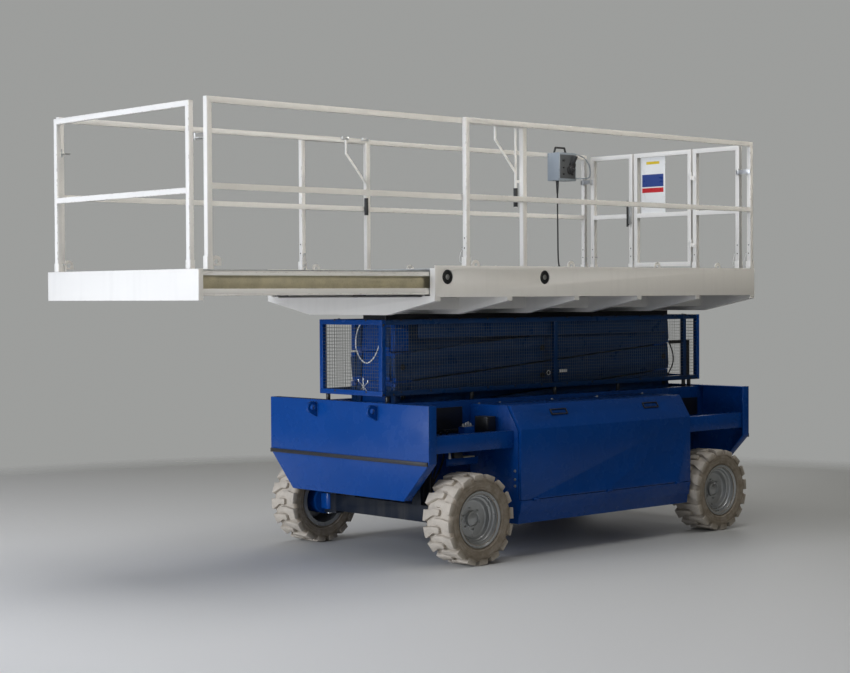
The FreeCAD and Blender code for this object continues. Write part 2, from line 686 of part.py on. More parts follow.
def grid_panel(width, height):
    """A sheet in the xy plane with square windows, as a flat guard of crossed wires."""
    columns = max(1, int(width // MESH_PITCH))
    rows = max(1, int(height // MESH_PITCH))
    pitch_x, pitch_y = width / columns, height / rows
    rim_wire = Part.makePolygon(rectangle(0, width, 0, height))
    holes = []
    for i in range(columns):
        for j in range(rows):
            x, y = i * pitch_x, j * pitch_y
            x_pair = (x + MESH_WIRE / 2, x + pitch_x - MESH_WIRE / 2)
            y_pair = (y + MESH_WIRE / 2, y + pitch_y - MESH_WIRE / 2)
            holes.append(Part.makePolygon(rectangle(*x_pair, *y_pair)))
    face = Part.Face([rim_wire] + holes)
    face.validate()
    return face.extrude(Vector(0, 0, MESH_THICK))


def rectangle(x0, x1, y0, y1):
    """A closed loop of corners in the xy plane."""
    return [Vector(x0, y0, 0), Vector(x1, y0, 0), Vector(x1, y1, 0), Vector(x0, y1, 0), Vector(x0, y0, 0)]


def cage():
    """The guard round the folded arms: side panels, end panels and feet."""
    inner = CAGE_HALF - CAGE_BAR
    z = (CAGE_LOW_Z, CAGE_TOP_Z)
    window_z = (CAGE_LOW_Z + CAGE_BAR, CAGE_TOP_Z - CAGE_BAR)
    side_x = (CAGE_REAR_X + CAGE_BAR, CAGE_FRONT_X - CAGE_BAR)
    side = [
        box(side_x, (inner, CAGE_HALF), (CAGE_LOW_Z, window_z[0])),
        box(side_x, (inner, CAGE_HALF), (window_z[1], CAGE_TOP_Z)),
    ]
    side += [box((x - CAGE_BAR / 2, x + CAGE_BAR / 2), (inner, CAGE_HALF), z) for x in CAGE_POSTS_X]
    side += arm_guard(inner)
    edges = sorted((side_x[0] - CAGE_BAR / 2, side_x[1] + CAGE_BAR / 2) + CAGE_POSTS_X)
    mesh_y = CAGE_HALF - 12.0
    for x0, x1 in zip(edges[:-1], edges[1:]):
        start, end = x0 + CAGE_BAR / 2, x1 - CAGE_BAR / 2
        panel = grid_panel(end - start, window_z[1] - window_z[0])
        panel = panel.rotated(ORIGIN, X_AXIS, 90).translated(Vector(start, mesh_y, window_z[0]))
        side.append(panel)
    left = fuse(side)
    export("cage_left", left)
    export("cage_right", across(left))

    ends = []
    for x0 in (CAGE_FRONT_X - CAGE_BAR, CAGE_REAR_X):
        x = (x0, x0 + CAGE_BAR)
        end = [
            box(x, (-CAGE_HALF, CAGE_HALF), (CAGE_LOW_Z, window_z[0])),
            box(x, (-CAGE_HALF, CAGE_HALF), (window_z[1], CAGE_TOP_Z)),
        ]
        end += both(box(x, (inner, CAGE_HALF), z))
        panel = grid_panel(2 * inner, window_z[1] - window_z[0])
        panel = panel.rotated(ORIGIN, X_AXIS, 90).rotated(ORIGIN, Z_AXIS, 90)
        panel = panel.translated(Vector(x0 + CAGE_BAR / 2, -inner, window_z[0]))
        end.append(panel)
        ends.append(fuse(end))
    export("cage_ends", *ends)

    feet = []
    foot_y = CAGE_HALF - CAGE_BAR / 2.0
    rail_top = BUMPER_TOP_Z - BUMPER_PLATE
    for x in CAGE_FEET_X:
        feet += both(Part.makeCylinder(FOOT_R, CAGE_LOW_Z - rail_top, Vector(x, foot_y, rail_top)))
    export("cage_feet", *feet)


def arm_guard(y):
    """The bar and plate inside a side panel, behind the folded arms' ends."""
    thick = (y, y + GUARD_PLATE_THICK)
    bar_z = (GUARD_BAR_Z - GUARD_BAR_WIDTH / 2.0, GUARD_BAR_Z + GUARD_BAR_WIDTH / 2.0)
    bar = box(GUARD_BAR_X, thick, bar_z)
    plate = box((GUARD_BAR_X[0], CAGE_POSTS_X[-1]), thick, (CAGE_LOW_Z, bar_z[1]))
    return [bar, plate]


# Scissor arms


def arm_bar(start, end, y):
    """A scissor arm in the xz plane, its square ends clipped at the corners, between a pair of y."""
    way = (end - start).normalize()
    side = way.cross(Y_AXIS)
    half = ARM_DEPTH / 2.0
    clipped_end = [
        (ARM_END - ARM_CLIP, half), (ARM_END, half - ARM_CLIP),
        (ARM_END, ARM_CLIP - half), (ARM_END - ARM_CLIP, -half),
    ]
    corners = [end + way * along + side * up for along, up in clipped_end]
    corners += [start - way * along - side * up for along, up in clipped_end]
    corners = [Vector(corner.x, min(y), corner.z) for corner in corners]
    face = Part.Face(Part.makePolygon(corners + corners[:1]))
    return face.extrude(Vector(0, abs(y[1] - y[0]), 0))


def stage_points(stage):
    """Lower and upper pivot heights of a stage at rest."""
    low = PIVOT_Z + (stage - 1) * STAGE_RISE
    return low, low + STAGE_RISE


def outer_frame(stage):
    """Two outer arms rising to the rear, tied by the shafts at their ends."""
    low, high = stage_points(stage)
    front, rear = Vector(PIVOT_X, 0, low), Vector(PIVOT_X - SPAN, 0, high)
    middle = (front + rear) * 0.5
    pieces = []
    for y in (OUTER_ARM_Y, (-OUTER_ARM_Y[1], -OUTER_ARM_Y[0])):
        arm = arm_bar(front, rear, y)
        bore = bar_y(middle.x, (y[0] - 1, y[1] + 1), middle.z, SHAFT_R + RUN_FIT)
        arm = arm.cut(bore)
        if stage == 1:
            arm = arm.cut(bar_y(front.x, (y[0] - 1, y[1] + 1), front.z, SHAFT_R + RUN_FIT))
        pieces.append(arm)
    shaft_y = (-OUTER_ARM_Y[1] - 5, OUTER_ARM_Y[1] + 5)
    pieces.append(bar_y(rear.x, shaft_y, rear.z, SHAFT_R))
    if stage > 1:
        pieces.append(bar_y(front.x, shaft_y, front.z, SHAFT_R))
    if stage == STAGES:
        roller_y = (GUIDE_IN_Y + 8, GUIDE_OUT_Y - 8)
        pieces += both(bar_y(rear.x, roller_y, rear.z, TOP_ROLLER_R - 0.3))
    return fuse(pieces)


def inner_frame(stage):
    """Two inner arms rising to the front, tied by cross tubes, with the centre pins."""
    low, high = stage_points(stage)
    rear, front = Vector(PIVOT_X - SPAN, 0, low), Vector(PIVOT_X, 0, high)
    middle = (front + rear) * 0.5
    pieces = []
    for y in (INNER_ARM_Y, (-INNER_ARM_Y[1], -INNER_ARM_Y[0])):
        arm = arm_bar(rear, front, y)
        ends = [front] if stage == 1 else [front, rear]
        for end in ends:
            arm = arm.cut(bar_y(end.x, (y[0] - 1, y[1] + 1), end.z, SHAFT_R + RUN_FIT))
        pieces.append(arm)
    pin = bar_y(middle.x, (INNER_ARM_Y[0] + 10, OUTER_ARM_Y[1] + 5), middle.z, SHAFT_R)
    pin_collar = bar_y(middle.x, (INNER_ARM_Y[1] - 5, OUTER_ARM_Y[0] - 1), middle.z, SHAFT_R + 22)
    pieces += both(pin) + both(pin_collar)
    if stage == 1:
        stub = bar_y(rear.x, (INNER_ARM_Y[0] + 10, OUTER_ARM_Y[1] + 4), rear.z, 20.0)
        roller = bar_y(rear.x, (OUTER_ARM_Y[0] + 5, OUTER_ARM_Y[1] + 8), rear.z, ROLLER_R)
        pieces += both(stub) + both(roller)
    tube_y = (-INNER_ARM_Y[0] - 5, INNER_ARM_Y[0] + 5)
    for at in (CROSS_TUBE_AT, 1.0 - CROSS_TUBE_AT):
        place = rear + (front - rear) * at
        pieces.append(bar_y(place.x, tube_y, place.z, CROSS_TUBE_R))
    if stage == 2:
        eye = rod_eye_point()
        tube = cylinder_tubes()[1]
        lug_y = (ROD_EYE_HALF + ROD_LUG_GAP, ROD_EYE_HALF + ROD_LUG_GAP + ROD_LUG_THICK)
        for y in (lug_y, (-lug_y[1], -lug_y[0])):
            lug = stadium(tube, eye, ROD_EYE_R, y)
            pieces.append(lug.cut(bar_y(eye.x, (y[0] - 1, y[1] + 1), eye.z, ROD_EYE_BORE_R)))
    return fuse(pieces)


def cylinder_tubes():
    """Cross tubes that the lift cylinder works between: rear of stage 1, front of stage 2."""
    points = []
    for stage, at in ((1, CROSS_TUBE_AT), (2, 1.0 - CROSS_TUBE_AT)):
        low, high = stage_points(stage)
        rear, front = Vector(PIVOT_X - SPAN, 0, low), Vector(PIVOT_X, 0, high)
        points.append(rear + (front - rear) * at)
    return points


def rod_eye_point():
    """Centre of the rod's eye, square below the front cross tube of stage 2."""
    tube = cylinder_tubes()[1]
    arm_way = Vector(SPAN, 0, STAGE_RISE).normalize()
    below = Vector(arm_way.z, 0, -arm_way.x)
    return tube + below * ROD_LUG_DROP


def lift_cylinder():
    """The barrel, hinged on the lower cross tube, and the rod that slides in it."""
    foot, head = cylinder_tubes()[0], rod_eye_point()
    way = (head - foot).normalize()
    mouth = head - way * (ROD_EYE_R + ROD_SHOWING)
    barrel = fuse([
        bar_y(foot.x, (-EYE_HALF, EYE_HALF), foot.z, EYE_R),
        rod(foot + way * 20, mouth, BARREL_R),
    ])
    barrel = barrel.cut(rod(foot + way * (EYE_R + 10), mouth - way * GLAND_LENGTH, BARREL_BORE_R))
    barrel = barrel.cut(rod(mouth - way * (GLAND_LENGTH + 1), mouth + way, ROD_R + RUN_FIT))
    barrel = barrel.cut(bar_y(foot.x, (-BARREL_R - 1, BARREL_R + 1), foot.z, CROSS_TUBE_R + RUN_FIT))
    export("lift_barrel", barrel)
    rod_shape = fuse([
        rod(foot + way * (EYE_R + 20), head - way * (ROD_EYE_BORE_R + 4), ROD_R),
        bar_y(head.x, (-ROD_EYE_HALF, ROD_EYE_HALF), head.z, ROD_EYE_R),
    ])
    rod_shape = rod_shape.cut(bar_y(head.x, (-ROD_EYE_HALF - 1, ROD_EYE_HALF + 1), head.z, ROD_EYE_BORE_R))
    export("lift_rod", rod_shape)


def scissor():
    """Every stage's arm frames and the lift cylinder."""
    for stage in range(1, STAGES + 1):
        export("outer_arms_%d" % stage, outer_frame(stage))
        export("inner_arms_%d" % stage, inner_frame(stage))
    lift_cylinder()


# Platform


def deck():
    """The fixed deck: fascias, tapered ribs, floor, and the black guides underneath."""
    x = (DECK_REAR_X, DECK_FRONT_X)
    web = box(x, (DECK_HALF - DECK_WEB, DECK_HALF), (DECK_LOW_Z, DECK_TOP_Z))
    for hole_x in ROLLER_HOLE_X:
        web = web.cut(bar_y(hole_x, (DECK_HALF - 20, DECK_HALF + 1), ROLLER_HOLE_Z, ROLLER_HOLE_R))
    ledge = box(x, (DECK_LEDGE_IN_Y, DECK_HALF), (DECK_LOW_Z, DECK_LOW_Z + DECK_WEB))
    z = (DECK_LOW_Z, DECK_TOP_Z)
    end_plate = box((DECK_FRONT_X - DECK_WEB, DECK_FRONT_X), (EXT_HALF, DECK_HALF), z)
    lip = box(x, (MAIN_RAIL_Y + RAIL_TUBE / 2.0, DECK_HALF), (DECK_TOP_Z - 1, DECK_TOP_Z + DECK_LIP))
    pieces = both(web) + both(lip) + both(ledge) + both(end_plate)
    pieces.append(box((DECK_REAR_X, DECK_REAR_X + DECK_WEB), (-DECK_HALF, DECK_HALF), z))
    rib = [
        (-DECK_HALF + 4, DECK_LOW_Z), (-DECK_HALF + 4, RIB_TIP_Z), (-RIB_FLAT_HALF, RIB_FLAT_Z),
        (RIB_FLAT_HALF, RIB_FLAT_Z), (DECK_HALF - 4, RIB_TIP_Z), (DECK_HALF - 4, DECK_LOW_Z),
    ]
    step = (DECK_FRONT_X - DECK_REAR_X - RIB_WIDTH) / (RIB_COUNT - 1)
    for i in range(RIB_COUNT):
        start = DECK_REAR_X + i * step
        pieces.append(outline_x(rib, (start, start + RIB_WIDTH)))
    pieces += both(box(x, (STRINGER_Y - 20, STRINGER_Y + 20), (STRINGER_LOW_Z, DECK_LOW_Z - 6)))
    export("deck_frame", fuse(pieces))

    floor_y = DECK_HALF - DECK_WEB
    floor_x = (DECK_REAR_X + DECK_WEB, DECK_FRONT_X)
    floor = box(floor_x, (-floor_y, floor_y), (DECK_TOP_Z - DECK_FLOOR, DECK_TOP_Z))
    export("deck_floor", floor.cut(Part.makeCompound(both(end_plate))))
    deck_guides()
    deck_runners()


def deck_guides():
    """The black channels the upper rollers run under, with the front arms' pins."""
    guide = box((GUIDE_REAR_X, GUIDE_FRONT_X), (GUIDE_IN_Y, GUIDE_OUT_Y), (GUIDE_LOW_Z, RIB_FLAT_Z))
    raised_x = PIVOT_X - ARM_LENGTH * math.cos(math.radians(LIFT_TOP_ANGLE))
    track_x = (GUIDE_REAR_X, raised_x + 3 * TOP_ROLLER_R)
    track_z = (TOP_PIVOT_Z + TOP_ROLLER_R, GUIDE_LOW_Z + 1)
    track = box(track_x, (GUIDE_IN_Y + 5, GUIDE_OUT_Y - 5), track_z)
    lug_y = (GUIDE_OUT_Y - 25, GUIDE_OUT_Y)
    lug_top_point = Vector(PIVOT_X, 0, GUIDE_LOW_Z + 20)
    lug = stadium(lug_top_point, Vector(PIVOT_X, 0, TOP_PIVOT_Z), 45.0, lug_y)
    pin = bar_y(PIVOT_X, (lug_y[0], INNER_ARM_Y[1] + 6), TOP_PIVOT_Z, SHAFT_R)
    guides = both(fuse([guide, track, lug, pin]))
    for x0 in (GUIDE_FRONT_X - 60, 100.0, GUIDE_REAR_X):
        tie_y = (-GUIDE_IN_Y - 5, GUIDE_IN_Y + 5)
        guides.append(box((x0, x0 + 60), tie_y, (RIB_FLAT_Z - 40, RIB_FLAT_Z)))
    export("deck_guides", fuse(guides))


def deck_runners():
    """Roller ends showing in the fascia's holes, and the pads the extension slides on."""
    runners = []
    back_y = DECK_HALF - DECK_WEB - 6
    for hole_x in ROLLER_HOLE_X:
        flange = bar_y(hole_x, (back_y, DECK_HALF - DECK_WEB), ROLLER_HOLE_Z, ROLLER_HOLE_R + 6)
        above = box((hole_x - 99, hole_x + 99), (0, DECK_HALF), (DECK_TOP_Z - DECK_FLOOR, RAIL_TOP_Z))
        flange = flange.cut(above)
        wheel = bar_y(hole_x, (back_y, DECK_HALF - 2), ROLLER_HOLE_Z, ROLLER_HOLE_R - 8)
        runners += both(fuse([flange, wheel]))
    pad_z = (DECK_LOW_Z + DECK_WEB, EXT_BEAM_LOW_Z - PAD_GAP)
    for x in PAD_X:
        pad_x = (x - PAD_LENGTH / 2.0, x + PAD_LENGTH / 2.0)
        runners += both(box(pad_x, (EXT_BEAM_IN_Y, EXT_BEAM_OUT_Y), pad_z))
    export("deck_runners", *runners)


def deck_rails():
    """Side rails and rear frames of the fixed deck."""
    side_x = (MAIN_RAIL_REAR_X, MAIN_RAIL_FRONT_X)
    side_z = (DECK_TOP_Z, SIDE_RAIL_TOP_Z)
    side = fuse(upright_frame(side_x, MAIN_RAIL_Y, side_z, RAIL_TUBE, SIDE_MID_RAIL_Z))
    export("deck_rails", *both(side))
    half = RAIL_TUBE / 2.0
    frame_y = (REAR_FRAME_IN_Y + half, REAR_FRAME_OUT_Y - half)
    z = (DECK_TOP_Z, RAIL_TOP_Z)
    frame = fuse(upright_frame(MAIN_RAIL_REAR_X, frame_y, z, RAIL_TUBE, MID_RAIL_Z + 22, plane="y"))
    frames = [fuse([frame] + gate_hinge_pins()), across(frame)]
    export("rear_frames", *frames)
    face_x = MAIN_RAIL_REAR_X + half
    latch = box((face_x, face_x + 26), (-REAR_FRAME_IN_Y - 34, -REAR_FRAME_IN_Y - 6), GATE_LATCH_Z)
    hooks = both(box((face_x, face_x + 8), (REAR_FRAME_OUT_Y - 30, MAIN_RAIL_Y + half), HOOK_Z))
    export("deck_latches", latch, *hooks)


def gate_hinge_pins():
    """The pinned halves of the gate's hinges, on the left rear frame."""
    face_x = MAIN_RAIL_REAR_X + RAIL_TUBE / 2.0
    pieces = []
    for hinge_z in GATE_HINGES_Z:
        z = (hinge_z - GATE_BARREL, hinge_z - 0.4)
        low = Vector(GATE_HINGE_X, GATE_HINGE_Y, z[0])
        pieces.append(Part.makeCylinder(GATE_BARREL_R, z[1] - z[0], low))
        pieces.append(Part.makeCylinder(GATE_PIN_R, GATE_BARREL * 2 - 4, low))
        pieces.append(box((face_x - 1, GATE_HINGE_X), (GATE_HINGE_Y, REAR_FRAME_IN_Y + 30), z))
        pieces.append(box((face_x - 1, face_x + 5), (REAR_FRAME_IN_Y + 1, REAR_FRAME_IN_Y + 34), z))
    return pieces


def gate():
    """The hinged gate between the rear frames, with its bored hinge halves and its board."""
    half = RAIL_TUBE / 2.0
    x = MAIN_RAIL_REAR_X
    gate_y = (-GATE_HALF + half, GATE_HALF - half)
    z = (GATE_LOW_Z, RAIL_TOP_Z)
    pieces = upright_frame(x, gate_y, z, RAIL_TUBE, GATE_MID_Z, plane="y")
    pieces.append(box((x - half, x + half), gate_y, (GATE_LOW_Z, GATE_LOW_Z + RAIL_TUBE)))
    bores = []
    for hinge_z in GATE_HINGES_Z:
        mid = Vector(GATE_HINGE_X, GATE_HINGE_Y, hinge_z)
        leaf_x, leaf_z = (x + half - 1, GATE_HINGE_X), (hinge_z, hinge_z + GATE_BARREL)
        pieces.append(Part.makeCylinder(GATE_BARREL_R, GATE_BARREL, mid))
        pieces.append(box(leaf_x, (GATE_HALF - 30, GATE_HINGE_Y), leaf_z))
        bores.append(Part.makeCylinder(GATE_PIN_R + RUN_FIT, GATE_BARREL + 2, mid - Z_AXIS))
    export("gate", fuse(pieces).cut(Part.makeCompound(bores)))
    board_z = (GATE_MID_Z + half, RAIL_TOP_Z - RAIL_TUBE)
    export("gate_board", box((x - SIGN_THICK / 2, x + SIGN_THICK / 2), SIGN_Y, board_z))


def extension():
    """The roll-out deck: fascia, side beams, cross members, floor and rails."""
    fascia_x = (EXT_FRONT_X - EXT_FASCIA, EXT_FRONT_X)
    pieces = [box(fascia_x, (-EXT_HALF, EXT_HALF), (EXT_FASCIA_LOW_Z, EXT_FASCIA_TOP_Z))]
    beam_x = (EXT_TAIL_X, fascia_x[0])
    beam_y = (EXT_BEAM_IN_Y, EXT_BEAM_OUT_Y)
    beam_z = (EXT_BEAM_LOW_Z, EXT_BEAM_TOP_Z)
    pieces += both(box(beam_x, (EXT_BEAM_IN_Y, EXT_BEAM_IN_Y + EXT_BEAM_SKIN), beam_z))
    for z in (beam_z[0], beam_z[1] - EXT_BEAM_SKIN):
        pieces += both(box(beam_x, beam_y, (z, z + EXT_BEAM_SKIN)))
    for x in EXT_CROSS_X:
        cross_z = (EXT_BEAM_TOP_Z - 90, EXT_BEAM_TOP_Z)
        pieces.append(box((x - 30, x + 30), (-EXT_BEAM_IN_Y - 4, EXT_BEAM_IN_Y + 4), cross_z))
    export("extension_frame", fuse(pieces))
    floor_z = (EXT_BEAM_TOP_Z, EXT_BEAM_TOP_Z + EXT_FLOOR)
    floor_y = (-EXT_BEAM_OUT_Y, EXT_BEAM_OUT_Y)
    export("extension_floor", box((EXT_FLOOR_REAR_X, fascia_x[0]), floor_y, floor_z))

    half = RAIL_TUBE / 2.0
    floor_top = floor_z[1]
    rear_post_z = (DECK_TOP_Z + EXT_POST_SHOE_GAP, SIDE_RAIL_TOP_Z)
    rails = []
    for y in (EXT_RAIL_Y, -EXT_RAIL_Y):
        across_y = (y - half, y + half)
        bars = [
            box((EXT_RAIL_FRONT_X - half, EXT_RAIL_FRONT_X + half), across_y, (floor_top, SIDE_RAIL_TOP_Z)),
            box((EXT_RAIL_REAR_X - half, EXT_RAIL_REAR_X + half), across_y, rear_post_z),
        ]
        for z in (SIDE_RAIL_TOP_Z - half, SIDE_MID_RAIL_Z):
            bars.append(box((EXT_RAIL_REAR_X, EXT_RAIL_FRONT_X), across_y, (z - half, z + half)))
        handle = push_handle() if y > 0 else across(push_handle())
        rails.append(fuse(bars + [handle]))
    export("extension_rails", *rails)
    end_x = EXT_FRONT_X - half
    end_z = (EXT_FASCIA_TOP_Z, RAIL_TOP_Z)
    end_y = (-END_RAIL_Y, END_RAIL_Y)
    export("end_rail", fuse(upright_frame(end_x, end_y, end_z, RAIL_TUBE, MID_RAIL_Z, plane="y")))
    hook_x = (EXT_RAIL_FRONT_X - 14, EXT_FRONT_X - RAIL_TUBE)
    hook = box(hook_x, (END_RAIL_Y - half, EXT_RAIL_Y - half), (HOOK_Z[0], HOOK_Z[0] + 8))
    export("extension_hooks", *both(hook))


def handle_path():
    """Corners of the left push handle, from the top rail down to its grip."""
    places_x = (HANDLE_TOP_X, HANDLE_TOP_X, HANDLE_LOW_X, HANDLE_LOW_X)
    return [Vector(x, HANDLE_Y, SIDE_RAIL_TOP_Z - drop) for x, drop in zip(places_x, HANDLE_DROPS)]


def push_handle():
    """The left bent-rod handle, from the top rail down beside the extension's rear post."""
    path = handle_path()
    bars = [Part.makeSphere(HANDLE_R, corner) for corner in path]
    bars += [rod(start, end, HANDLE_R) for start, end in zip(path[:-1], path[1:])]
    reach = EXT_RAIL_Y - RAIL_TUBE / 2.0
    bars.append(rod(path[0], Vector(path[0].x, reach, path[0].z), HANDLE_R))
    bracket_z = (path[2].z - 80, path[2].z - 60)
    bars.append(box((EXT_RAIL_REAR_X + 5, HANDLE_LOW_X), (HANDLE_Y - 6, reach), bracket_z))
    return fuse(bars)


def handle_grips():
    """Black grips on the lower ends of the push handles."""
    end = handle_path()[-1]
    grip = Part.makeCylinder(GRIP_R, GRIP_LENGTH, end - Z_AXIS * 4)
    hole = Part.makeCylinder(HANDLE_R, GRIP_LENGTH, end)
    export("handle_grips", *both(grip.cut(hole).cut(Part.makeSphere(HANDLE_R, end))))


def control_station():
    """The control box hung on the far rail, its carry handle, lever, gland, socket and cable."""
    body = box(CONTROL_X, CONTROL_Y, CONTROL_Z)
    hook_y = (-MAIN_RAIL_Y + RAIL_TUBE / 2.0, CONTROL_Y[0])
    bracket_z = (SIDE_RAIL_TOP_Z - RAIL_TUBE + 1, CONTROL_Z[1] - 2)
    bracket = box((CONTROL_X[0] + 40, CONTROL_X[1] - 40), hook_y, bracket_z)
    export("control_box", fuse([body, bracket]))
    mid_y = sum(CONTROL_Y) / 2.0
    top_z = CONTROL_Z[1]
    loop = [
        Vector(CONTROL_X[1] - 12, mid_y, top_z), Vector(CONTROL_X[1] - 30, mid_y, top_z + 48),
        Vector(CONTROL_X[1] - 150, mid_y, top_z + 48), Vector(CONTROL_X[1] - 168, mid_y, top_z),
    ]
    bars = [rod(start, end, CARRY_R) for start, end in zip(loop[:-1], loop[1:])]
    bars += [Part.makeSphere(CARRY_R, corner) for corner in loop]
    lever_x, lever_z, panel_y = CONTROL_X[0] + 60, CONTROL_Z[0] + 145, CONTROL_Y[1]
    bars.append(bar_y(lever_x, (panel_y, panel_y + 22), lever_z, 34.0))
    lever = (Vector(lever_x, panel_y + 10, lever_z), Vector(lever_x, panel_y + 60, lever_z + 80))
    bars.append(rod(*lever, 15.0))
    fittings = fuse(bars).cut(body).Solids
    gland_x, gland_low = CONTROL_X[1] - 55, CONTROL_Z[0] - GLAND_DROP
    fittings.append(Part.makeCone(9.0, 15.0, GLAND_DROP, Vector(gland_x, mid_y, gland_low)))
    route = cable_route(gland_x, mid_y, gland_low)
    socket_x = (route[-1].x - 60, route[-1].x)
    socket_y = (route[-1].y - 25, route[-1].y + 25)
    fittings.append(box(socket_x, socket_y, (DECK_TOP_Z, DECK_TOP_Z + 36)))
    export("control_fittings", *fittings)
    cable(route)


def cable_route(x, y, z):
    """Points of the control cable, hanging from its gland to the deck and along it."""
    floor = DECK_TOP_Z + CABLE_R + 1.0
    return [
        Vector(x, y, z), Vector(x - 1, y, z - 90), Vector(x - 3, y - 1, z - 190),
        Vector(x - 6, y - 3, z - 290), Vector(x - 10, y - 6, z - 390), Vector(x - 15, y - 10, z - 488),
        Vector(x - 22, y - 15, z - 580), Vector(x - 34, y - 20, z - 658), Vector(x - 62, y - 24, floor + 24),
        Vector(x - 126, y - 29, floor), Vector(x - 205, y - 36, floor + 1), Vector(x - 270, y - 37, floor),
    ]


def cable(points):
    """The cable as straight runs joined by tangent arcs."""
    edges, here, radii = [], points[0], []
    for before, corner, after in zip(points[:-2], points[1:-1], points[2:]):
        back, ahead = before - corner, after - corner
        run = min(back.Length, ahead.Length)
        back.normalize()
        ahead.normalize()
        turn = math.pi - back.getAngle(ahead)
        reach = 0.45 * run
        radii.append(reach / math.tan(turn / 2.0))
        start, end = corner + back * reach, corner + ahead * reach
        toward = (back + ahead).normalize()
        centre_far = radii[-1] / math.cos(turn / 2.0)
        middle = corner + toward * (centre_far - radii[-1])
        edges.append(Part.LineSegment(here, start).toShape())
        edges.append(Part.Arc(start, middle, end).toShape())
        here = end
    edges.append(Part.LineSegment(here, points[-1]).toShape())
    path = Part.Wire(edges)
    first = (points[1] - points[0]).normalize()
    section = Part.Wire(Part.makeCircle(CABLE_R, points[0], first))
    tube = path.makePipeShell([section], True, False)
    print("cable radii", [round(r) for r in radii])
    print("cable length %.0f, volume against section %.4f" % (
        path.Length, tube.Volume / (math.pi * CABLE_R ** 2 * path.Length)))
    export("control_cable", tube)


def main():
    os.makedirs("parts", exist_ok=True)
    wheels()
    axles()
    knuckles()
    bumpers()
    chassis_frame()
    side_boxes()
    cage()
    scissor()
    deck()
    deck_rails()
    gate()
    extension()
    handle_grips()
    control_station()


main()
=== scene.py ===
"""Dresses a self-propelled scissor lift: finishes, softened edges and small fittings.

All lengths are metres in the machine's own frame: +X towards the roll-out extension,
+Y to the left side, +Z up from the floor. Places that are measured from the middle of
the wheelbase go through spot().
"""

from __future__ import annotations

import json
import logging
import math
import random
from dataclasses import dataclass, field
from enum import Enum
from typing import Iterable, Sequence

import bmesh
import bpy
from mathutils import Matrix, Vector

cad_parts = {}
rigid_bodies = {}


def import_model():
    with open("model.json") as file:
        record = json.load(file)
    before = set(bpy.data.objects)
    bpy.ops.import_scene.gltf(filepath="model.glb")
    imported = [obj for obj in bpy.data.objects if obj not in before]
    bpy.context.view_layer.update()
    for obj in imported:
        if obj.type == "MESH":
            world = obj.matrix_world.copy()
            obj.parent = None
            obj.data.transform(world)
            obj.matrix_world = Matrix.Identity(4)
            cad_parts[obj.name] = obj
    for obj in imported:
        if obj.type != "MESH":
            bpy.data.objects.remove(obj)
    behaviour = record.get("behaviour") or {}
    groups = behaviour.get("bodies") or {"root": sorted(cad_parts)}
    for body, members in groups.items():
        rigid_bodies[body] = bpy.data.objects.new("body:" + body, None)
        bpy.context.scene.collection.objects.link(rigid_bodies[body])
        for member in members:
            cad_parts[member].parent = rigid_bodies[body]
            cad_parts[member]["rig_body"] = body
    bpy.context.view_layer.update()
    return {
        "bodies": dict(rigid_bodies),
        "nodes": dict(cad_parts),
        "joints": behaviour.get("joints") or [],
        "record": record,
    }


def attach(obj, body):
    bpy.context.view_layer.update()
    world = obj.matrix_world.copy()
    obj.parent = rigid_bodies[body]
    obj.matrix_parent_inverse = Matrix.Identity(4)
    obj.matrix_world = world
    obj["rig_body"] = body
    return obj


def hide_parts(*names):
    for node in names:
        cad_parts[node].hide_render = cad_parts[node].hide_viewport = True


LOG = logging.getLogger("scissor_lift")
WHEELBASE_MID_X = -0.9265
Point = Sequence[float]


def spot(x: float, y: float, z: float) -> Vector:
    """A point given from the middle of the wheelbase.

    Args:
        x: Distance ahead of the middle of the wheelbase.
        y: Distance to the left of the machine's middle.
        z: Height above the floor.

    Returns:
        The same point in the machine's frame.
    """
    return Vector((x + WHEELBASE_MID_X, y, z))


# Finishes


